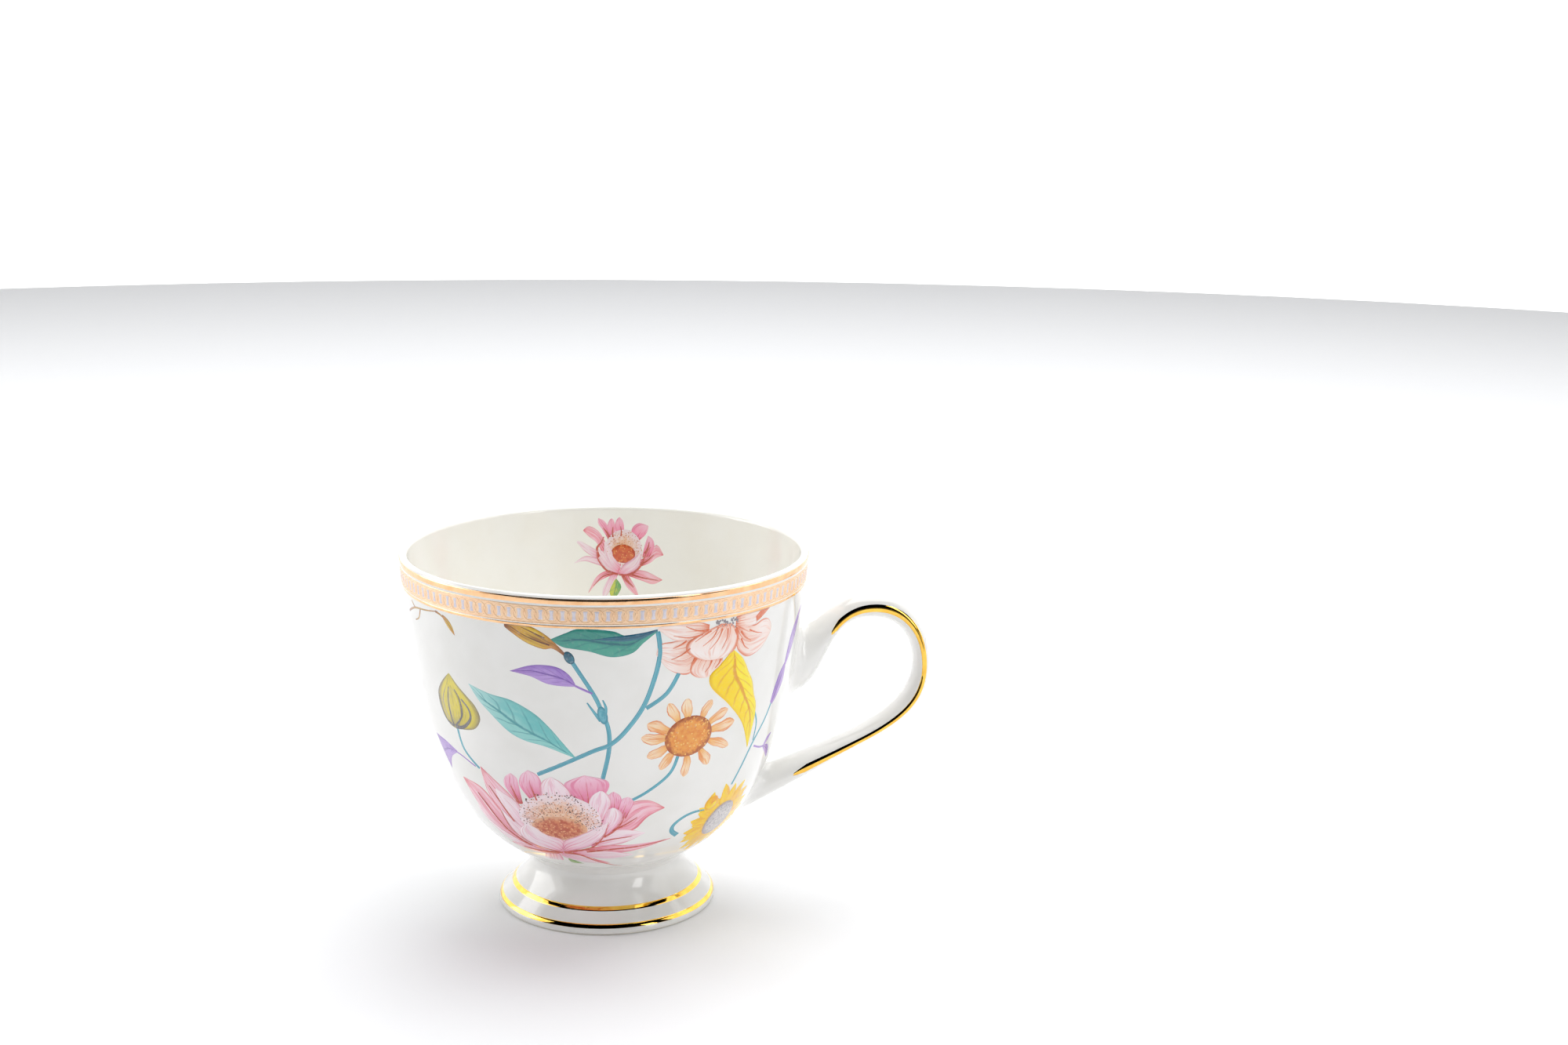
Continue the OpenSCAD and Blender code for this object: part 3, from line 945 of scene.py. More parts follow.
lotus = Transfer(-110, 30)
for left, right_side, layer, tone, paint in (
    ([(-6, -9.6), (-14, -9.2), (-19.5, -4.6), (-22, -0.6)],
     [(-6, -9.2), (-12, -6.5), (-17, -2.5), (-22, -0.6)], 0, 0.1, pale),
    ([(-9, -9.5), (-18.3, -5), (-21.8, 0.7), (-24.4, 5.9)],
     [(-8, -8), (-14.4, -0.2), (-19, 4.9), (-24.4, 5.9)], 1, 0.5, tipped),
    ([(-10, -6), (-15, 0), (-17.6, 4.6), (-18.5, 10.6)],
     [(-8, -2), (-11, 4.2), (-14.8, 7.8), (-18.5, 10.6)], 2, 0.35, tipped),
    ([(8.5, -2.6), (12, -3), (14.4, -2.2), (17.2, 0.8), (20.6, 2.6)],
     [(7.6, -1), (11.6, 2.4), (14.3, 4.9), (17.9, 5), (20.6, 2.6)], 1, 0.45, tipped),
    ([(4.5, -6.9), (8, -6.8), (11.6, -6.1), (16.2, -3.6)],
     [(4.5, -6), (8, -3.2), (11.8, -2), (16.2, -3.6)], 2, 0.1, pale),
    ([(2.5, -9.4), (8, -9.2), (12.6, -8.9), (20.6, -6.4)],
     [(2.5, -8), (8, -6.6), (12.6, -6.8), (20.6, -6.4)], 1, 0.75, tipped),
    ([(0, -9.8), (4, -10.9), (8, -11.3), (12.8, -10.2)],
     [(0, -8.7), (4.5, -8.3), (8.5, -8.5), (12.8, -10.2)], 2, 0.15, pale),
    ([(-2.8, -9.6), (-2.4, -11.3), (0.8, -12.6), (5.6, -13.4)],
     [(-2.2, -9.2), (1, -9.7), (3.9, -11), (5.6, -13.4)], 3, 0.3, pale),
    ([(2.3, -11), (4.2, -13.2), (6.5, -14.4), (9.8, -15.3)],
     [(2.5, -10.2), (4.6, -11.4), (7.1, -12.8), (9.8, -15.3)], 2, 0.7, tipped),
    ([(-6.3, -9.8), (-7.4, -13), (-7.2, -15), (-5.8, -15.9)],
     [(-2.9, -9.6), (-2.8, -12), (-3.4, -14.8), (-5.8, -15.9)], 1, 0.3, pale),
    ([(-3, -10.2), (-8, -11), (-12, -10.6), (-15, -9.6)],
     [(-3, -9.2), (-8, -9), (-12, -8.8), (-15, -9.6)], 2, 0.6, tipped),
    ([(-9.9, 3), (-12.6, 6.8), (-12.5, 9.2), (-10.9, 10.6)],
     [(-8.8, 3), (-9.2, 7.5), (-9.5, 9.6), (-10.9, 10.6)], 3, 0.85, rose),
    ([(-6.5, 4), (-9, 7.7), (-8.5, 10.4), (-6.7, 12)],
     [(-4.4, 4), (-3.8, 8.5), (-4.6, 11), (-6.7, 12)], 4, 0.4, rose),
    ([(4.6, 4.4), (2.2, 7), (1.1, 9.6), (5.5, 11.8)],
     [(6.9, 4.4), (9.6, 7.4), (10.2, 10.4), (5.5, 11.8)], 3, 0.7, rose),
    ([(9.6, 2), (9.7, 5.8), (10, 7), (11.1, 7.8)],
     [(11.3, 2), (12.5, 5.4), (12.2, 6.9), (11.1, 7.8)], 3, 0.8, rose),
    ([(10.6, 0.6), (11.6, 4), (12.5, 5.8), (13.9, 6.3)],
     [(12.8, 0.6), (14.6, 4), (14.8, 5.4), (13.9, 6.3)], 2, 0.55, rose),
    ([(-3.5, 2), (-4.6, 6.9), (-3.7, 9.6), (-1.6, 11)],
     [(0.8, 2), (2.4, 6.7), (0.9, 9.4), (-1.6, 11)], 5, 0.1, pale),
    ([(5.2, -0.2), (5.7, 5), (6.9, 7.2), (8.7, 8.2)],
     [(8.2, -0.2), (10.3, 4.6), (10.1, 6.8), (8.7, 8.2)], 5, 0.05, pale),
    ([(6.4, -3.4), (8.1, 0.6), (9.1, 2.9), (10.7, 4)],
     [(8.4, -4), (11.5, -0.3), (12.4, 2.2), (10.7, 4)], 5, 0.2, pale),
    ([(-7.5, -6.8), (-13.4, -0.2), (-14.9, 3.2), (-15.4, 6)],
     [(-4, -5), (-8.6, 0.6), (-10.6, 3.8), (-15.4, 6)], 5, 0.25, pale),
    ([(-2.2, -9.6), (-9.8, -8), (-13, -4.8), (-14.9, 0.9)],
     [(-1.8, -8.6), (-7.4, -6), (-10.4, -3.2), (-14.9, 0.9)], 10, 0.35, pale),
    ([(-1.9, -9.2), (-6.2, -9.3), (-10.6, -7.2), (-11.2, -4.4), (-8.7, -1.9)],
     [(-1.7, -8.4), (-1, -5.6), (-3.6, -4.3), (-6.1, -3), (-8.7, -1.9)], 11, 0.1, pale),
    ([(-2, -8.4), (-1, -5.6), (2.4, -3.7), (5.9, -1.8), (9.2, 0.1)],
     [(-1.8, -9.2), (2.6, -7.8), (5.2, -6.3), (7.9, -3.3), (9.2, 0.1)], 11, 0.12, pale),
):
    lotus.shape(left, right_side, layer, tone, paint)
    hair_paint, hair_reach = (rose, 0.7) if paint == pale else (outline, 0.55)
    lotus.hairs(left, right_side, 5, 0.17, layer + 0.5, hair_paint, hair_reach)
lotus.disc((-1.2, 0.4), 9.2, 6.4, layer=6, paint=pollen, tilt=6)
grain_dark, seeds, thread, grain_light = range(4)
lotus_heart = Transfer(-110, 30)
lotus_heart.disc((-1.5, -2.2), 6.3, 3.3, layer=8, paint=seeds, tilt=4, dome=0.09)
dice = random.Random(7)
for dot in range(330):
    angle = math.radians(dice.uniform(-14, 194))
    reach = dice.uniform(0.36, 1.08)
    u, v = 8.6 * reach * math.cos(angle), 7.4 * reach * math.sin(angle) + 0.1 * math.cos(angle)
    size = dice.uniform(0.12, 0.24)
    grain_paint = grain_light if dot % 5 == 0 else grain_dark
    lotus_heart.dot((u - 1, v - 0.6), size, 9, dice.random(), grain_paint)
for order in range(34):
    angle = math.radians(8 + 4.9 * order + dice.uniform(-2, 2))
    spots = []
    for share in (0.95, 1.3, 1.75):
        spots.append((-1 + 5.4 * share * math.cos(angle), -1.2 + 3.2 * share * math.sin(angle)))
    lotus_heart.stroke(spots, 0.1, 7, dice.random(), thread, 0.4, 3)
for dot in range(110):
    angle = dice.uniform(0, math.tau)
    reach = math.sqrt(dice.random()) * 0.97
    u, v = reach * math.cos(angle), reach * math.sin(angle)
    spot = (-1.1 + 5.8 * u, -1.8 + 2.7 * v + 0.5 * u)
    lotus_heart.dot(spot, 0.17, 9, dice.random(), grain_light, 0.05)
for spots, half in (
    ([(-2, -9.3), (-8.2, -8.2), (-12.9, -4.9), (-14.9, 0.4)], 0.3),
    ([(-2, -9.3), (4.2, -7.6), (7.7, -4), (9.4, 0.2)], 0.28),
    ([(3, -8.8), (9, -7.9), (15, -7.4), (19.4, -6.5)], 0.26),
    ([(-2, -9.5), (1.6, -9.9), (4.4, -11.9), (9.2, -15)], 0.34),
    ([(-2, -9.5), (-7, -10), (-12, -9.8)], 0.3),
    ([(7.6, -4.2), (9.9, -2.6), (11.9, -0.2), (12.9, 2.6)], 0.3),
    ([(9.6, -2.4), (12.6, -0.8), (15.2, 1)], 0.2),
    ([(-9.2, -9), (-14.2, -5.4), (-18.2, 0.2), (-20.6, 3.4)], 0.22),
    ([(-11.6, -2.6), (-14.6, 2.6), (-17, 6.4)], 0.26),
    ([(-9.9, 3.4), (-10.6, 6), (-11.2, 7.6)], 0.3),
    ([(-5.4, 4.6), (-6, 6.8), (-6.4, 8.4)], 0.26),
    ([(4.6, -6.4), (9, -4.9), (13.6, -4.2)], 0.22),
):
    lotus.stroke(spots, half, 12, 0.3, outline, taper=0.75)
lotus.shape(
    [(-1.8, -13.2), (0.4, -14.4), (3.2, -14.9)],
    [(-1.8, -11.2), (0.4, -12.7), (3.2, -14.4)], 5, paint=stalk,
)
lotus.make(
    "lotus_flower", "pink_enamel", "lotus_petals",
    lotus_outer, lotus_back, lotus_inner, pollen_field, lotus_line, stalk_green,
)
pollen_dot = petal_paint(
    "pollen_grain_enamel",
    [(0.0, ink(236, 170, 118)), (1.0, ink(220, 140, 96))],
    ink(206, 120, 88), ink(244, 196, 150), ink(240, 214, 190), 0.9,
)
thread_paint = petal_paint(
    "stamen_thread_enamel",
    [(0.0, ink(222, 150, 116)), (1.0, ink(240, 196, 170))],
    ink(226, 160, 130), ink(206, 130, 110), ink(240, 214, 200), 0.9,
)
lotus_heart.make(
    "lotus_heart", "russet_enamel", "lotus_centre", dot_paint, seed_head, thread_paint, pollen_dot
)

# ---- Daisy -----------------------------------------------------------------------------------
# An orange daisy with twelve narrow petals round a stippled seed head, printed in enamel. The
# smaller one on the back is made by the same function.
daisy_petal = petal_paint(
    "daisy_petal_enamel",
    [(0.0, ink(228, 126, 50)), (0.28, ink(248, 196, 120)), (0.6, ink(253, 232, 202)),
     (1.0, ink(252, 218, 176))],
    ink(230, 132, 74), ink(240, 164, 84), ink(250, 212, 176), 0.62, 2.6, 0.8, 0.9, 0.1, 0.95,
)
daisy_head = stipple_paint(
    "daisy_head_enamel", (ink(240, 164, 76), ink(232, 140, 62)),
    ink(176, 92, 52), ink(248, 198, 110), 0.36, 1300, 0.7,
)
dot_rust = petal_paint(
    "rust_dot_enamel",
    [(0.0, ink(176, 88, 56)), (1.0, ink(196, 104, 64))],
    ink(168, 84, 60), ink(214, 130, 84), ink(230, 190, 170), 0.95,
)


def daisy(name, azimuth, height, tips, head_wide, head_high, seed):
    """Narrow petals set round an oval seed head, whose outer dots are darker."""
    cast = random.Random(seed)
    rays = Transfer(azimuth, height)
    for order, (u, v) in enumerate(tips):
        angle = math.atan2(v, u)
        base = (head_wide * 0.8 * math.cos(angle), head_high * 0.8 * math.sin(angle))
        half = 1.25 * cast.uniform(0.85, 1.15)
        rays.blade(
            base, (u, v), half, cast.uniform(-0.4, 0.4), order % 2, cast.random(),
            root=0.36, belly=0.66, taper=2.4, blunt=0.75, ripple=0.16,
        )
    rays.make(name + "_petals", "orange_enamel", name + "_petals", daisy_petal)
    head = Transfer(azimuth, height)
    head.disc((0, 0), head_wide, head_high, layer=3, tilt=5, dome=0.06)
    for dot in range(110):
        angle = cast.uniform(0, math.tau)
        out = math.sqrt(cast.random()) * 0.92
        size = cast.uniform(0.14, 0.24)
        spot = (head_wide * out * math.cos(angle), head_high * out * math.sin(angle))
        head.dot(spot, size, 4, cast.random(), 2 if out > 0.66 else 1, 0.05)
    head.make(name + "_head", "russet_enamel", name + "_centre", daisy_head, pollen_dot, dot_rust)


daisy_tips = [
    (-5.3, 8.2), (-1.2, 8.8), (4.9, 7.6), (9.3, 4.6), (11.4, 1.4), (10.5, -4.3),
    (5.5, -7.7), (-0.1, -9.6), (-5.6, -7.2), (-8.9, -3.8), (-10.5, 0.9), (-9.5, 3.9),
]
daisy("daisy", -70.3, 49.4, daisy_tips, 5.5, 4.7, seed=3)

# ---- Sunflower -------------------------------------------------------------------------------
# A yellow sunflower low on the right, two rings of pointed petals round a grey seed head, with a
# small closed bud beside it.
sun_petal = petal_paint(
    "sunflower_petal_enamel",
    [(0.0, ink(236, 138, 10)), (0.3, ink(254, 208, 0)), (1.0, ink(255, 228, 30))],
    ink(236, 164, 28), ink(244, 176, 20), ink(250, 218, 130), 0.66, 3.0, 0.7, 0.8, 0.08,
)
grey_head = stipple_paint(
    "grey_head_enamel", (ink(196, 192, 194), ink(222, 216, 216)),
    ink(176, 160, 158), ink(142, 136, 142), 0.3, rim_from=0.75,
)
grey_dot = petal_paint(
    "grey_dot_enamel",
    [(0.0, ink(140, 134, 142)), (1.0, ink(168, 160, 164))],
    ink(120, 112, 122), ink(196, 190, 192), ink(226, 220, 220), 0.95,
)
sunflower = Transfer(-47, 25.8)
dice = random.Random(12)
for ring, (count, reach, layer) in enumerate(((17, 10.2, 0), (15, 8.9, 1))):
    for petal in range(count):
        angle = math.tau * (petal + ring / 2) / count
        long = reach * dice.uniform(0.9, 1.07)
        base = (3.4 * math.cos(angle), 3.6 * math.sin(angle))
        tip = (long * math.cos(angle), long * math.sin(angle) * 0.92)
        sunflower.blade(
            base, tip, 1.35, dice.uniform(-0.3, 0.3), layer, dice.random(),
            root=0.5, belly=0.45, taper=1.7, blunt=0.9,
        )
sunflower.disc((-5.4, 5.4), 1.8, 1.9, 3, 0.3, tilt=20, dome=0.05)
sunflower.blade((-5.4, 3.6), (-5.6, 8.2), 1.2, 0.2, 3, 0.2)
sunflower.make("sunflower_petals_painted", "yellow_enamel", "sunflower_petals", sun_petal)
sun_head = Transfer(-47, 25.8)
sun_head.disc((0, 0), 4.3, 4.4, layer=4, dome=0.05)
for dot in range(150):
    angle = dice.uniform(0, math.tau)
    out = math.sqrt(dice.random()) * 0.95
    size = dice.uniform(0.1, 0.2)
    spot = (4.2 * out * math.cos(angle), 4.3 * out * math.sin(angle))
    sun_head.dot(spot, size, 5, dice.random(), 1, 0.04)
sun_head.make("sunflower_head", "grey_enamel", "sunflower_centre", grey_head, grey_dot)

# ---- Peach blossom ---------------------------------------------------------------------------
# An open blossom cut off by the band: wide, wavy pale peach petals with orange-red outlines.
peach_petal = petal_paint(
    "peach_petal_enamel",
    [(0.0, ink(230, 130, 92)), (0.16, ink(250, 218, 204)), (0.6, ink(253, 242, 238)),
     (1.0, ink(251, 226, 216))],
    ink(230, 132, 96), ink(243, 184, 162), ink(250, 226, 216), 0.86, 4.0, 0.6, 0.9, 0.1, 0.965,
)
peach_line = petal_paint(
    "peach_outline_enamel",
    [(0.0, ink(226, 112, 66)), (1.0, ink(242, 166, 132))],
    ink(232, 130, 92), ink(214, 100, 62), ink(248, 212, 194), 0.9,
)
peach_fill, peach_edge = range(2)
peach = Transfer(-61, 55)
for left, right_side, layer, tone, paint in (
    ([(-4.2, 17.4), (-6.5, 16.5), (-8.7, 16.1), (-12, 16.4), (-15.6, 19.2)],
     [(-4.1, 18.8), (-7, 20), (-10, 20.8), (-13, 20.8), (-15.6, 19.2)], 2, 0.05, peach_fill),
    ([(-6.8, 11.6), (-7.6, 9), (-9.6, 8.6), (-12.8, 10.2), (-15.5, 13.6)],
     [(-7.6, 15.4), (-9.4, 16.4), (-12, 16.2), (-14.8, 15.8), (-15.5, 13.6)], 1, 0.3, peach_fill),
    ([(-6.8, 12.2), (-8, 10.6), (-8, 8.9), (-6.3, 7.6), (-4.2, 7.2)],
     [(-0.4, 11.4), (-0.3, 10.2), (-1.2, 8.9), (-2.5, 7.8), (-4.2, 7.2)], 3, 0.45, peach_fill),
    ([(2.6, 16.6), (3, 13.6), (3.9, 11.6), (6.8, 9.9), (10.8, 11), (13.5, 13.8)],
     [(3.2, 17.8), (7.9, 16.8), (10.5, 17.5), (12.5, 17.2), (13.8, 15.4), (13.5, 13.8)], 3, 0.4, peach_fill),
    ([(2.4, 17.4), (6, 16.6), (8.6, 17), (10.8, 18.4)],
     [(2.4, 20), (6, 20.8), (9, 20.8), (10.8, 18.4)], 4, 0.05, peach_fill),
    ([(8.2, 17.2), (10, 17.9), (12, 19.1), (14.6, 20.9)],
     [(8, 18.4), (10.2, 20.2), (12, 21), (14.6, 20.9)], 5, 0.9, peach_edge),
    ([(-1.2, 18.6), (-5.5, 17.4), (-9, 15.7), (-9.1, 13.5), (-5.8, 11.4), (-2.6, 11)],
     [(1.2, 18.4), (2.7, 17), (3.5, 14.8), (2.8, 12.4), (0, 11.1), (-2.6, 11)], 6, 0.06, peach_fill),
):
    peach.shape(left, right_side, layer, tone, paint)
    peach.hairs(left, right_side, 6, 0.15, layer + 0.5, peach_edge)
for spots, half in (
    ([(-2, 18.2), (-3.2, 16), (-5.8, 14.2)], 0.34),
    ([(-0.9, 17.8), (-1.9, 15.4), (-4, 13.2)], 0.34),
    ([(0.4, 17.6), (0.3, 15.2), (-1, 12.8)], 0.3),
    ([(-3.6, 17.6), (-5.6, 16.6), (-7.6, 15.4)], 0.34),
    ([(2.4, 17.2), (3.3, 14.8), (2.7, 12.4)], 0.55),
    ([(4, 16.2), (5.4, 14.6), (7.4, 13.4)], 0.36),
    ([(4.2, 14.6), (5.4, 12.6), (6.8, 11.6)], 0.3),
    ([(6.4, 16), (8.6, 15), (10.8, 14.4)], 0.26),
    ([(-9.2, 16), (-10.6, 15.2), (-12.2, 14.6)], 0.3),
    ([(-8.2, 14.4), (-10.2, 13), (-12.4, 12.2)], 0.26),
    ([(-6.9, 12), (-7.7, 10.6), (-7.8, 9.4)], 0.5),
    ([(-3, 11), (-3.6, 9.6), (-4.6, 8.4)], 0.26),
    ([(-0.8, 11), (-1.2, 10), (-2.2, 9)], 0.4),
    ([(-4.2, 17.6), (-7.2, 18), (-9.8, 19.2)], 0.34),
    ([(-5.4, 17), (-8.8, 16.6), (-12.4, 17.4)], 0.26),
):
    peach.stroke(spots, half, 8, 0.2, peach_edge, taper=0.75)
peach.make("peach_blossom_petals", "peach_enamel", "peach_blossom", peach_petal, peach_line)
stamens = Transfer(-61, 73.5)
for dot in range(44):
    spot = (dice.uniform(-3, 3), 0.9 - abs(dice.gauss(0, 0.8)))
    stamens.dot(spot, 0.24, 8, dice.random(), 0)
stamens.make("peach_blossom_stamens", "grey_enamel", "peach_stamens", grey_dot)

# ---- Leaves ----------------------------------------------------------------------------------
# Leaves and pods in the same enamels: each has a drawn midrib, side veins and a shaded half.


def leaf_paint(name, body, shade, vein, veins, slant, strength, tip=None):
    """Leaf enamel: a body colour shaded to one side and towards its tip, with midrib and veins."""
    finish = Finish(name)
    across, along, tone = finish.blade()
    where = finish.place()
    grain = finish.noise(where, 1200, 3)
    wash = finish.noise(finish.vector(across * 2, along * 4, tone * 19), 1, 3)
    side = abs(across)
    colour = finish.mix((wash + across * 0.2).step(0.32, 0.72), body, shade)
    colour = finish.mix(along.step(0.55, 1.0) * 0.7, colour, tip or body)
    run = (along * veins - side * slant + (wash - 0.5) * 0.5) % 1
    ribs = abs(run - 0.5).step(0.13, 0.03) * side.step(1.0, 0.55) * strength
    midrib = (side + (grain - 0.5) * 0.08).step(0.13, 0.04) * along.step(1.0, 0.8)
    colour = finish.mix(ribs, colour, vein)
    colour = finish.mix(midrib * 0.9, colour, vein)
    colour = finish.mix(side.step(0.82, 1.0) * 0.35, colour, vein)
    colour = finish.mix(grain.step(0.5, 0.8) * 0.07, colour, paper_white)
    return finish.surface(
        Base_Color=colour,
        Roughness=0.1 + 0.1 * grain,
        Normal=finish.bump(grain, 0.12, 0.02),
        Coat_Weight=0.25,
        Coat_Roughness=0.04,
    )


yellow_leaf_paint = leaf_paint(
    "yellow_leaf_enamel", ink(255, 234, 40), ink(255, 218, 16), ink(228, 156, 40), 9, 1.8, 0.6
)
leaf = Transfer(-61, 55)
leaf.shape(
    [(2.6, 12.2), (5.4, 9.8), (7.6, 6.2), (8.9, 4.2), (10, 0.8), (11.1, -1.6), (11.4, -4.6),
     (11, -8), (10.6, -12.2)],
    [(2, 12.2), (-0.9, 9.5), (-3.2, 7.6), (-2.5, 4.6), (2.5, 0), (7.4, -5.5), (10.6, -12.2)],
    9, 0.4, mid=-0.3,
)
leaf.make("yellow_leaf_painted", "yellow_enamel", "yellow_leaf", yellow_leaf_paint)

deep_teal_paint = leaf_paint(
    "dark_teal_leaf_enamel", ink(78, 166, 148), ink(58, 144, 132), ink(38, 104, 120),
    6, 1.4, 0.35, ink(64, 150, 138),
)
fold_paint = leaf_paint(
    "leaf_fold_enamel", ink(60, 118, 138), ink(48, 100, 126), ink(34, 78, 104), 5, 1.0, 0.3
)
leaf = Transfer(-105, 55)
leaf.shape(
    [(17.9, 18.7), (15, 16.3), (12.7, 14.2), (8.7, 13.5), (4.4, 14.7), (1.2, 15.2), (-1.3, 15.6),
     (-3.8, 17.1)],
    [(17.9, 19.2), (15, 18.5), (11.6, 18.1), (8.8, 19.2), (2.6, 19.7), (-0.6, 18.6), (-3.8, 17.1)],
    1,
)
leaf.shape(
    [(17.9, 18.8), (14.9, 17.3), (11.9, 16.8), (8.8, 16.9), (4.2, 17.3)],
    [(17.9, 19.2), (15, 18.6), (11.6, 18.2), (8.8, 18), (4.2, 17.3)], 2, 0.6, paint=1,
)
leaf.make("dark_teal_leaf_painted", "teal_enamel", "dark_teal_leaf", deep_teal_paint, fold_paint)

pale_teal_paint = leaf_paint(
    "light_teal_leaf_enamel", ink(150, 214, 210), ink(112, 196, 196), ink(70, 152, 160),
    7, 1.5, 0.6, ink(198, 232, 230),
)
leaf = Transfer(-105, 55)
leaf.shape(
    [(0.5, -9.3), (-3, -7.9), (-6.3, -6.8), (-10.3, -6), (-13.8, -4.4), (-17.9, -0.8),
     (-20.4, 1.6), (-22.7, 4.9)],
    [(0.6, -9), (-2.2, -5.4), (-4.7, -2.3), (-7.9, 0.6), (-12.7, 2.9), (-17.7, 3.6), (-22.7, 4.9)],
    1, 0.4, mid=-0.28,
)
leaf.make("light_teal_leaf_painted", "pale_teal_enamel", "light_teal_leaf", pale_teal_paint)

violet_paint = leaf_paint(
    "purple_leaf_enamel", ink(188, 156, 222), ink(160, 124, 206), ink(122, 86, 172),
    6, 2.2, 0.45, ink(150, 106, 188),
)
leaf = Transfer(-105, 55)
leaf.shape(
    [(1.3, 7), (-1.7, 7), (-4.9, 7.4), (-8.2, 8.7), (-12.8, 9.4)],
    [(1.3, 7.4), (0.1, 9.5), (-2.2, 11.1), (-5.4, 11.5), (-8.8, 11), (-12.8, 9.4)], 1, 0.3,
)
leaf.stroke([(1, 7.3), (2.8, 6.4), (4.8, 5.5)], 0.28, 1)
leaf.move(-155, 41)
leaf.shape(
    [(4.2, 1), (0.4, -1.2), (-2, -4.8)],
    [(4.2, 1.3), (0, 2.6), (-3.6, 2.9), (-5.6, 3)], 1, 0.1,
)
leaf.stroke([(2, 1.2), (5.6, 0.6), (9.6, -1)], 0.22, 1)
leaf.make("purple_leaves_painted", "purple_enamel", "purple_leaf", violet_paint)

pod_paint = petal_paint(
    "tan_pod_enamel",
    [(0.0, ink(118, 66, 56)), (0.22, ink(206, 146, 84)), (0.5, ink(230, 196, 74)),
     (0.8, ink(212, 158, 70)), (1.0, ink(112, 44, 44))],
    ink(170, 112, 62), ink(146, 100, 60), ink(240, 220, 180), 0.74, 2.2, 0.85, 0.85, 0.1,
)
node_paint = petal_paint(
    "stem_node_enamel",
    [(0.0, ink(56, 96, 116)), (1.0, ink(66, 128, 150))],
    ink(44, 76, 96), ink(90, 150, 168), ink(190, 210, 220), 0.7,
)
pod = Transfer(-105, 55)
pod.shape(
    [(-0.6, 13.4), (-3.2, 15.1), (-5.3, 14.9), (-9.2, 16.2), (-13.6, 19)],
    [(-0.4, 14), (-3.9, 17.5), (-7.1, 19.4), (-10.4, 20.4), (-13.6, 20.8)], 3, 0.4,
)
for spots in (
    [(-3.6, 15.8), (-6.6, 16.6), (-9.6, 17.8), (-12.4, 19.4)],
    [(-4.6, 17.2), (-7.4, 18.4), (-10, 19.4)],
):
    pod.stroke(spots, 0.24, 4, 0.9, paint=2, taper=0.6)
pod.disc((0.1, 13.3), 1.0, 1.5, 3, 0.4, paint=1, tilt=30)
umber_line = petal_paint(
    "umber_line_enamel",
    [(0.0, ink(112, 74, 66)), (1.0, ink(150, 100, 70))],
    ink(120, 80, 66), ink(92, 60, 60), ink(220, 200, 180), 0.9,
)
pod.make("tan_pod_painted", "tan_enamel", "tan_pod", pod_paint, node_paint, umber_line)

bud_paint = petal_paint(
    "yellow_bud_enamel",
    [(0.0, ink(140, 132, 90)), (0.25, ink(222, 204, 72)), (0.8, ink(232, 216, 86)),
     (1.0, ink(206, 190, 80))],
    ink(134, 124, 118), ink(196, 178, 70), ink(240, 232, 190), 0.66, 2.6, 0.7, 0.85, 0.1,
)
bud = Transfer(-144, 54)
bud.shape(
    [(-2.2, -5.9), (-4.4, -5), (-6.2, -2.3), (-6.4, 1.3), (-4.1, 4.3), (-0.8, 7)],
    [(-1.6, -5.9), (3.1, -5.2), (5.5, -4.1), (7.1, -1.7), (6.2, 0.9), (4.3, 2.6), (1.7, 4.6),
     (-0.8, 7)], 0, 0.4,
)
bud.shape(
    [(-1.9, -5.6), (-4.1, -3.8), (-4.8, 0.4), (-1.6, 5)],
    [(-1.2, -5.4), (-0.8, -2.2), (-1.1, 2), (-1.6, 5)], 1, 0.2,
)
bud.shape(
    [(-1.2, -5.4), (-2.4, -3.2), (-2.4, 0.6), (-1, 4.4)],
    [(-0.2, -5.2), (1.5, -1.9), (1.4, 1.5), (-1, 4.4)], 2, 0.1,
)
for spots, half, tone, taper in (
    ([(-1.8, -5.5), (1.3, -4.9), (4, -2.5), (4, -0.2), (2, 1.8)], 0.5, 0.2, 0.5),
    ([(-1.8, -5.5), (1.5, -2.2), (1.6, 1.4), (0.2, 3.6)], 0.34, 0.5, 0.5),
    ([(-1.9, -5.5), (-2.6, -3), (-2.6, 0.8), (-1.6, 3.8)], 0.34, 0.3, 0.5),
    ([(-1.9, -5.5), (-4.6, -4.4), (-6, -1.8), (-6, 1.2)], 0.34, 0.6, 0.6),
):
    bud.stroke(spots, half, 3, tone, 1, taper)
bud_line = petal_paint(
    "bud_line_enamel",
    [(0.0, ink(106, 104, 112)), (1.0, ink(150, 144, 140))],
    ink(124, 120, 124), ink(92, 88, 98), ink(214, 208, 200), 0.9,
)
bud.make("yellow_bud_painted", "olive_enamel", "yellow_bud", bud_paint, bud_line)

# ---- Purple spray ----------------------------------------------------------------------------
# A thin spray by the handle: a long lilac bud, a pale leaf over it and a small side flower.
spray = Transfer(-32, 50)
spray.blade((1.5, 9.2), (9.2, 20.8), 1.7, 0.7, 1, 0.1)
spray.blade((-2.9, 1.4), (1.7, 10.2), 1.9, -0.2, 2, 0.8)
spray.stroke([(-6.6, -7.4), (-3.6, -8.6), (-1.2, -9)], 0.25, 1)
spray.blade((-1.4, -9), (4.4, -13.6), 1.0, 0.6, 1, 0.6)
spray.blade((-1.4, -9), (1.6, -6.6), 0.8, 0.2, 1, 0.4)
spray.make("purple_spray_painted", "purple_enamel", "purple_spray", violet_paint)

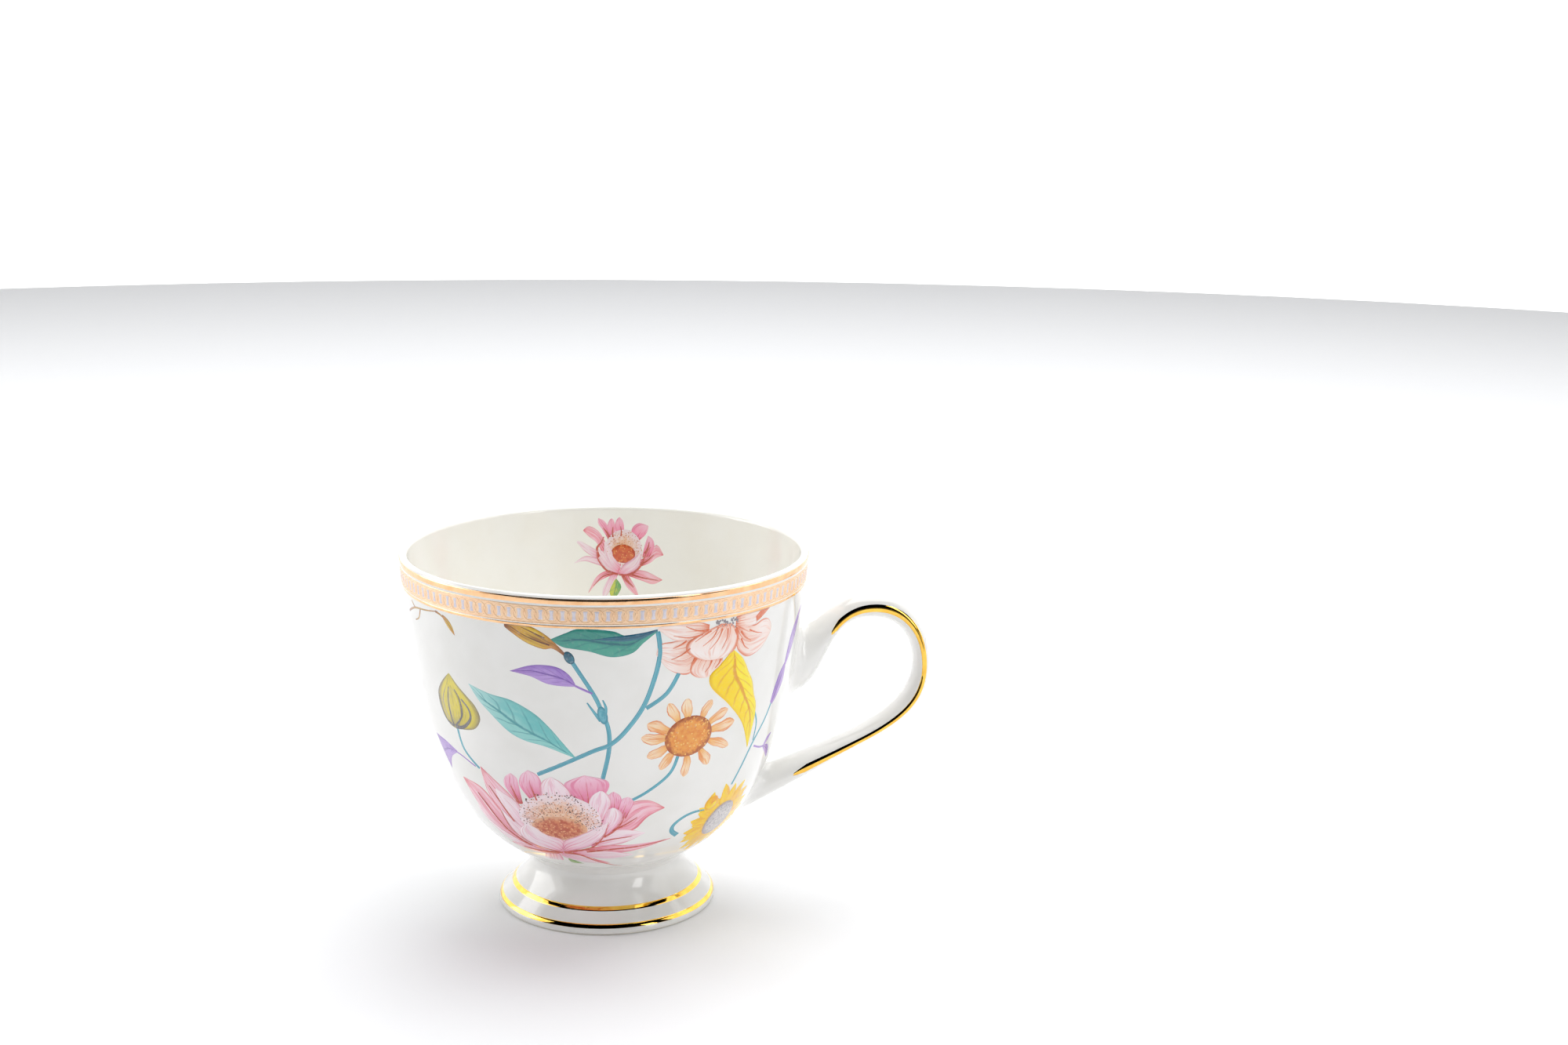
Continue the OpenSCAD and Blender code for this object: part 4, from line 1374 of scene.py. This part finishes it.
# ---- Side sprig ------------------------------------------------------------------------------
# Fine tan twigs just under the band on the far left.
sprig = Transfer(-156, 72.5)
for spots in (
    [(-8.4, -1.6), (-3.6, 0.2), (2.6, 1), (7.2, 1.7)],
    [(6.2, 1.6), (8.8, 0.8), (10.8, -1.6)],
    [(-3.4, 0.2), (-5.4, 1.6)],
    [(-0.4, 0.7), (-1.8, -1.6), (-4.2, -2.6)],
):
    sprig.stroke(spots, 0.32, 1, taper=0.6)
sprig.blade((8.6, 1.2), (12, -2.6), 0.75, 0.3, 2, 0.6)
sprig.make("side_sprig_painted", "tan_enamel", "side_sprig", pod_paint)

# ---- Front stems -----------------------------------------------------------------------------
# Long teal stems drawn in single strokes of the brush, darker along their edges.
stem_paint = petal_paint(
    "stem_enamel",
    [(0.0, ink(88, 164, 184)), (0.5, ink(98, 176, 194)), (1.0, ink(82, 154, 176))],
    ink(68, 140, 162), ink(128, 198, 212), ink(214, 232, 238), 0.55, 1.6, 0.6, 0.8, 0.05,
)
stems = Transfer(-105, 55)
stems.stroke([(0.2, 13.2), (4.7, 5.6), (6.4, 1.4), (7.6, -2.8), (7.4, -7.8), (5.8, -14.4)], 0.5)
stems.disc((6.5, 0.7), 1.0, 2.1, layer=1, tilt=12)
stems.stroke([(6.2, -0.6), (4.8, 1.4), (3.4, 3.6)], 0.5, 1, 0.6, taper=0.7)
stems.stroke([(6.9, 0.4), (7.2, 2.4), (6.6, 4.2)], 0.5, 1, 0.6, taper=0.7)
stems.stroke(
    [(17.8, 18.8), (18, 12.7), (15.2, 3.5), (11.3, -2.6), (7.8, -6), (3.6, -7.8), (-8.4, -14)],
    0.5, 2,
)
stems.move(-61, 55)
stems.stroke([(-10.2, 9.6), (-12.6, 4.9), (-16.6, 1.8)], 0.5, 1)
stems.stroke([(-8.4, -9.4), (-9.6, -13.8), (-13.5, -17.7), (-17.2, -20.2)], 0.42)
stems.move(-143, 44)
stems.stroke([(-1.8, 4.6), (-1, -0.4), (2.8, -4.3)], 0.4)
stems.move(-60, 28)
stems.stroke(
    [(-3.6, -3.9), (-5.6, -2.3), (-5.8, -0.5), (-4, 1.2), (-1.6, 1.9), (1.4, 1.8)],
    0.62, 0, 0.3, taper=0.5,
)
stems.move(-32, 50)
stems.stroke([(-2.7, 2), (-4.3, -1.5), (-7.4, -6.5), (-9.2, -11.7), (-10.3, -15.7)], 0.38)
stems.stroke([(-9.8, 1.8), (-7.9, -1.6), (-7.5, -6.1)], 0.26, 0, 0.2)
stems.move(-110, 30)
stems.stroke([(4.2, -12.4), (5, -14.4), (5.4, -16)], 0.45)
stems.make("front_stems_painted", "stem_enamel", "front_stems", stem_paint)

# ---- Blossom inside the rim ------------------------------------------------------------------
# A second, smaller lotus stands inside the cup under the rim, opposite the drinker.
blossom_pink = petal_paint(
    "inner_pink_enamel",
    [(0.0, ink(232, 84, 100)), (0.22, ink(250, 168, 190)), (0.55, ink(255, 216, 228)),
     (0.86, ink(252, 196, 204)), (1.0, ink(222, 66, 48))],
    ink(240, 136, 146), ink(248, 156, 176), ink(253, 214, 222), 0.78, 4.0, 0.7, 0.8, 0.12,
)
blossom_rose = petal_paint(
    "inner_rose_enamel",
    [(0.0, ink(236, 88, 112)), (0.3, ink(252, 160, 192)), (0.7, ink(255, 202, 222)),
     (1.0, ink(255, 216, 228))],
    ink(248, 156, 180), ink(246, 138, 174), ink(253, 214, 224), 0.82, 4.4, 0.8, 0.8, 0.12,
)
coral, amber, small_leaf = 5, 6, 7
inner = Transfer(80, 69.5, within=True)
for left, right_side, layer, tone, paint in (
    ([(-4.6, -0.6), (-6.3, -0.4), (-8.6, 1.2), (-10.6, 3.5)],
     [(-4.6, 0.8), (-7.5, 2.5), (-9.8, 3.8), (-10.6, 3.5)], 0, 0.1, pale),
    ([(-2.6, -3.2), (-6.3, -1.9), (-8.6, -1.2), (-11.2, -1.7)],
     [(-2.6, -1.6), (-6.3, -0.3), (-8.6, 0), (-11.2, -1.7)], 1, 0.2, pale),
    ([(-4, -0.2), (-5.7, 3.1), (-7.6, 4.7), (-9, 6.2)],
     [(-2.8, 1.8), (-4.6, 5.1), (-6.1, 6.6), (-7.8, 7.2), (-9, 6.2)], 2, 0.5, tipped),
    ([(-2.8, 3.6), (-4.3, 6.2), (-5.4, 7.8), (-5.4, 9.2)],
     [(-2, 3.6), (-2.8, 6.7), (-3.9, 8.4), (-5.4, 9.2)], 1, 0.5, rose),
    ([(-2.3, 3.6), (-3.2, 6.7), (-2.8, 8.4), (-2.1, 9.1)],
     [(-1.3, 3.6), (-1.3, 7.2), (-1.6, 8.5), (-2.1, 9.1)], 2, 0.8, rose),
    ([(-0.5, 3.8), (-1.4, 6.7), (-1, 8.6), (-0.2, 9.4)],
     [(0.5, 3.8), (0.9, 6.5), (0.6, 8.3), (-0.2, 9.4)], 3, 0.6, rose),
    ([(2.7, 3.6), (2.7, 6.5), (4.4, 8), (6.8, 7.4)],
     [(4.4, 3.6), (5.9, 5), (6.6, 6.2), (6.8, 7.4)], 2, 0.7, rose),
    ([(5.2, -0.4), (5.9, 2.8), (6.7, 5.1)],
     [(7, -0.4), (8.2, 2), (8, 4), (6.7, 5.1)], 2, 0.7, rose),
    ([(4.8, -2.6), (7.3, -1.5), (8.8, -0.2), (10.6, 0.5)],
     [(4.2, -1.4), (6.9, 0.7), (7.9, 2.3), (9.1, 2.9), (10.6, 0.5)], 1, 0.5, tipped),
    ([(1.6, -4.8), (5.6, -6), (8, -6.6), (10.4, -5.4)],
     [(1.6, -3.4), (5.5, -3.4), (7.9, -4.2), (10.4, -5.4)], 1, 0.4, tipped),
    ([(0, -4.4), (1, -6.5), (2.2, -8.2), (4.8, -10.2)],
     [(1.6, -4), (2.6, -5.6), (3.8, -7.6), (4.8, -10.2)], 2, 0.5, tipped),
    ([(-2, -4), (-3.4, -6.4), (-4.3, -8.6), (-4.1, -10.6)],
     [(-0.4, -4.2), (-1.5, -7), (-2.8, -9), (-4.1, -10.6)], 1, 0.15, pale),
    ([(-1.6, -4.6), (-3.4, -5.3), (-5.4, -6.4), (-7.7, -9)],
     [(-1.4, -3.4), (-4, -3.8), (-6.1, -5.5), (-7.7, -9)], 2, 0.6, tipped),
    ([(-0.4, -4.4), (-3.1, -3.3), (-5, -0.9), (-5.4, 1.6)],
     [(0, -3.2), (-1.9, -1.6), (-3.6, 0.8), (-5.4, 1.6)], 8, 0.3, pale),
    ([(-0.4, -4.2), (-2.7, -2), (-3.9, 0.6), (-3.9, 3.6)],
     [(0.4, -2.4), (-1.1, -0.8), (-2.3, 1.8), (-3.9, 3.6)], 9, 0.15, pale),
    ([(-0.4, -4.4), (0.7, -2.1), (3, -0.5), (5.4, 1.5)],
     [(-0.1, -4.8), (2.3, -4.2), (4.6, -2.5), (5.4, 1.5)], 9, 0.2, pale),
):
    inner.shape(left, right_side, layer, tone, paint)
    inner.hairs(left, right_side, 4, 0.16, layer + 0.5, rose if paint == pale else outline)
inner.disc((0.8, 1.7), 4.4, 4.7, layer=5, paint=pollen)
inner.disc((0.7, 0.5), 3.0, 2.3, layer=7, paint=coral, tilt=-4, dome=0.1)
for spots, half in (
    ([(-0.4, -4.5), (-3.2, -3.6), (-5.3, -1), (-5.7, 1.4)], 0.3),
    ([(-5, -0.4), (-5.6, 1.8), (-4.6, 3.2), (-4, 4.6)], 0.36),
    ([(-0.4, -4.5), (2.6, -4.4), (4.9, -2.4), (6.2, 0.6), (7.4, 2.4)], 0.3),
    ([(0.6, -4.8), (1.8, -6.2), (3.4, -7.6)], 0.42),
    ([(2.4, -4.4), (5.6, -5.2), (9.4, -5.6)], 0.28),
    ([(5, -2), (6.8, -0.8), (8.2, 0.6)], 0.3),
    ([(-1.4, -4.3), (-4.2, -5), (-6.6, -7.4)], 0.24),
    ([(-2.6, 4.4), (-3.4, 5.8), (-4.2, 6.8)], 0.28),
    ([(-1.8, 4.4), (-1.9, 5.8), (-1.8, 7)], 0.3),
    ([(0.1, 4.6), (0.2, 6), (0, 7.2)], 0.24),
    ([(5.9, 0.6), (6.7, 2.2), (7, 3.6)], 0.3),
):
    inner.stroke(spots, half, 10, 0.2, outline, taper=0.6)
dice = random.Random(21)
for dot in range(210):
    angle = math.radians(dice.uniform(-24, 204))
    reach = dice.uniform(0.4, 1.15)
    spot = (0.9 + 4.0 * reach * math.cos(angle), 1.0 + 4.4 * reach * math.sin(angle))
    size = dice.uniform(0.1, 0.19)
    inner.dot(spot, size, 8, dice.random(), outline if dot % 3 == 0 else amber)
inner.shape(
    [(-1.2, -5.4), (-2.6, -8.6), (-1.5, -10.8)],
    [(-1, -5.4), (0.3, -7.6), (-1.5, -10.8)], 3, 0.4, small_leaf,
)
amber_dot = petal_paint(
    "amber_dot_enamel",
    [(0.0, ink(206, 120, 60)), (1.0, ink(232, 176, 90))],
    ink(196, 110, 56), ink(240, 200, 120), ink(240, 214, 180), 0.9,
)
coral_head = stipple_paint(
    "coral_head_enamel", (ink(222, 110, 66), ink(206, 84, 56)),
    ink(190, 76, 50), ink(240, 170, 100), 0.36, 1700, 0.8,
)
small_leaf_paint = leaf_paint(
    "small_leaf_enamel", ink(208, 214, 90), ink(120, 178, 110), ink(86, 150, 110),
    4, 1.0, 0.4, ink(222, 218, 96),
)
inner.make(
    "inner_blossom_painted", "pink_enamel", "inner_blossom",
    blossom_pink, blossom_rose, lotus_inner, pollen_field, lotus_line,
    coral_head, amber_dot, small_leaf_paint,
)

# ---- Back lily -------------------------------------------------------------------------------
# The back carries the same printed garden: a yellow lily edged with rose, between teal leaves.
lily_petal = petal_paint(
    "lily_petal_enamel",
    [(0.0, ink(240, 190, 80)), (0.4, ink(250, 228, 130)), (0.8, ink(248, 220, 170)),
     (1.0, ink(236, 150, 150))],
    ink(228, 140, 120), ink(240, 190, 110), ink(248, 214, 180), 0.7, 4.0, 0.5,
)
lily = Transfer(78, 46)
dice = random.Random(5)
for ring, (count, reach, half) in enumerate(((6, 15, 2.7), (6, 12, 2.3))):
    for petal in range(count):
        angle = math.tau * (petal + ring / 2) / count + 0.2
        long = reach * dice.uniform(0.92, 1.05)
        tip = (long * math.cos(angle), long * math.sin(angle))
        base = (1.2 * math.cos(angle), 1.2 * math.sin(angle))
        lily.blade(base, tip, half, 0.7, ring, dice.random())
lily.make("back_lily_petals", "yellow_enamel", "lily_petals", lily_petal)
lily_heart = Transfer(78, 46)
for petal in range(9):
    angle = math.tau * petal / 9
    tip = (4.4 * math.cos(angle), 4.4 * math.sin(angle))
    base = (0.4 * math.cos(angle), 0.4 * math.sin(angle))
    lily_heart.blade(base, tip, 1.2, 0.3, 4 + petal % 2, petal / 9)
lily_heart.disc((0, 0), 1.5, 1.5, layer=7, paint=1, dome=0.05)
crimson = petal_paint(
    "lily_heart_enamel",
    [(0.0, ink(190, 60, 70)), (0.6, ink(222, 110, 110)), (1.0, ink(240, 176, 160))],
    ink(196, 74, 80), ink(170, 50, 64), ink(236, 170, 160), 0.7,
)
lily_heart.make("back_lily_heart", "russet_enamel", "lily_centre", crimson, daisy_head)
for name, azimuth, height, tip, half, node in (
    ("back_lily_left_leaf", 60, 40, (-9.5, -5.5), (2.9, 3.2), "lily_left_leaf"),
    ("back_lily_right_leaf", 96, 40, (11, -7), (3.2, 2.9), "lily_right_leaf"),
):
    leaf = Transfer(azimuth, height)
    base = (-tip[0] * 0.5, -tip[1] * 0.5)
    leaf.blade(base, tip, half, 0.8, tone=0.4, root=0.2, taper=1.5)
    leaf.make(name, "pale_teal_enamel", node, pale_teal_paint)

# ---- Back violet, olive leaf, daisy and bud --------------------------------------------------
# Smaller flowers fill the rest of the back in the same colours.
violet_petal = petal_paint(
    "violet_petal_enamel",
    [(0.0, ink(130, 90, 160)), (0.3, ink(196, 168, 216)), (1.0, ink(226, 206, 232))],
    ink(150, 116, 180), ink(170, 136, 200), ink(224, 208, 236), 0.75, 5.0, 0.55,
)
violet = Transfer(128, 60)
for petal in range(7):
    angle = math.tau * petal / 7 + 0.3
    tip = (9.2 * math.cos(angle), 9.2 * math.sin(angle))
    base = (0.6 * math.cos(angle), 0.6 * math.sin(angle))
    violet.blade(base, tip, 2.1, 0.5, petal % 2, petal / 7)
violet.disc((0, 0), 1.5, 1.5, layer=3, paint=1, dome=0.05)
violet.make("back_violet", "purple_enamel", "violet_blossom", violet_petal, daisy_head)
olive_paint = leaf_paint(
    "olive_leaf_enamel", ink(214, 192, 84), ink(192, 172, 70), ink(140, 122, 58),
    8, 1.5, 0.55, ink(222, 206, 110),
)
leaf = Transfer(156, 38)
leaf.blade((-1.4, -9), (1.8, 10.6), 4.4, 0.6, 1, 0.4, root=0.15, belly=0.42, taper=1.5)
leaf.make("back_olive_leaf", "olive_enamel", "olive_leaf", olive_paint)
around = [math.tau * petal / 13 for petal in range(13)]
back_tips = [(8.8 * math.cos(angle), 8.6 * math.sin(angle)) for angle in around]
daisy("back_daisy", 35, 34, back_tips, 4.2, 4.0, seed=9)
bud = Transfer(42, 64)
bud.blade(
    (-1.6, -2.8), (1.8, 3.4), 1.9, 0.4, 1, 0.4, root=0.5, belly=0.45, taper=2.0, blunt=0.8
)
bud.blade(
    (-1.8, -2.8), (0, 2.6), 1.3, 0.7, 2, 0.2, 1, root=0.5, belly=0.45, taper=2.0, blunt=0.8
)
bud.make("back_bud_painted", "pink_enamel", "back_bud", lotus_back, lotus_inner)
stems = Transfer(78, 46)
stems.stroke([(2, -12), (1, -18), (4, -24)], 0.5)
stems.move(45, 50)
stems.stroke([(-3.6, 11.4), (-2.6, 4), (-5, -4), (-6.6, -8.6)], 0.45)
stems.move(140, 50)
stems.stroke([(-6.4, 1.6), (-3, -6), (3.2, -14), (8.4, -22)], 0.5)
stems.stroke([(2.6, -13.4), (5.4, -16.4), (9.4, -19.4)], 0.4, 1)
stems.make("back_stems_painted", "stem_enamel", "back_stems", stem_paint)

# ---- Floor and light -------------------------------------------------------------------------
# A pale sweep with large soft lights; a dark card lies in front, where only mirrors see it.


def stage_paint(name, colour, rough):
    finish = Finish(name)
    where = finish.place()
    tooth = finish.noise(where, 60, 2)
    shade = finish.mix(tooth * 0.1, colour, ink(236, 238, 240))
    return finish.surface(Base_Color=shade, Roughness=rough)


floor_profile = [(radius, -0.02) for radius in (0, 150, 600, 1400)]
floor = turned("floor", floor_profile, 96, stage_paint("pale_paper", ink(250, 251, 253), 0.7))
for face in floor.data.polygons:
    face.flip()

card_finish = stage_paint("black_card", ink(6, 6, 7), 0.9)
card_plan = [(-0.35, -0.225), (0.3, -0.225), (0.7, -1.2), (-0.7, -1.2)]
card_corners = [(x, y, 0.0006) for x, y in card_plan]
card = piece("mirror_card", card_corners, [(0, 1, 2, 3)], card_finish)
card.visible_camera = False
card.visible_diffuse = False
card.visible_shadow = False

backdrop_finish = Finish("white_backdrop")
haze = backdrop_finish.noise(backdrop_finish.place(), 3, 1)
glow = backdrop_finish.mix(haze * 0.04, ink(255, 255, 255), ink(250, 251, 253))
backdrop_finish.surface(Base_Color=glow, Roughness=0.9, Emission_Color=glow, Emission_Strength=1.0)
backdrop_points = []
backdrop_faces = []
backdrop_rows = [(1380, 0), (1650, 40), (1830, 240), (1900, 700), (1900, 1900)]
backdrop_sides = 64
for radius, height in backdrop_rows:
    for side in range(backdrop_sides + 1):
        angle = math.radians(-25 + 220 * side / backdrop_sides)
        spot = (radius * math.cos(angle), radius * math.sin(angle), height)
        backdrop_points.append(tuple(value * MM for value in spot))
for row in range(len(backdrop_rows) - 1):
    for side in range(backdrop_sides):
        near = row * (backdrop_sides + 1) + side
        far = near + backdrop_sides + 1
        backdrop_faces.append((near, far, far + 1, near + 1))
backdrop = piece("backdrop", backdrop_points, backdrop_faces, backdrop_finish.material)
backdrop.visible_diffuse = False
backdrop.visible_shadow = False


cup_middle = Vector((0, 0, 0.04))


def softbox(name, place, wide, high, power):
    """A large soft light that faces the cup."""
    data = bpy.data.lights.new(name, "AREA")
    data.shape = "RECTANGLE"
    data.size = wide
    data.size_y = high
    data.energy = power
    made = bpy.data.objects.new(name, data)
    made.location = place
    made.rotation_euler = (cup_middle - Vector(place)).to_track_quat("-Z", "Y").to_euler()
    bpy.context.scene.collection.objects.link(made)


softbox("overhead_light", (0.25, 0.3, 1.1), 1.3, 1.1, 14.0)
softbox("left_light", (-0.9, 0.3, 0.4), 0.6, 0.7, 3.6)
softbox("right_light", (0.57, -0.66, 0.35), 0.2, 0.6, 1.5)

world = bpy.data.worlds.new("studio")
world.use_nodes = True
world.node_tree.nodes["Background"].inputs["Color"].default_value = (1, 1, 1, 1)
world.node_tree.nodes["Background"].inputs["Strength"].default_value = 0.33
world.cycles_visibility.glossy = False
bpy.context.scene.world = world
bpy.context.scene.view_settings.view_transform = "Standard"
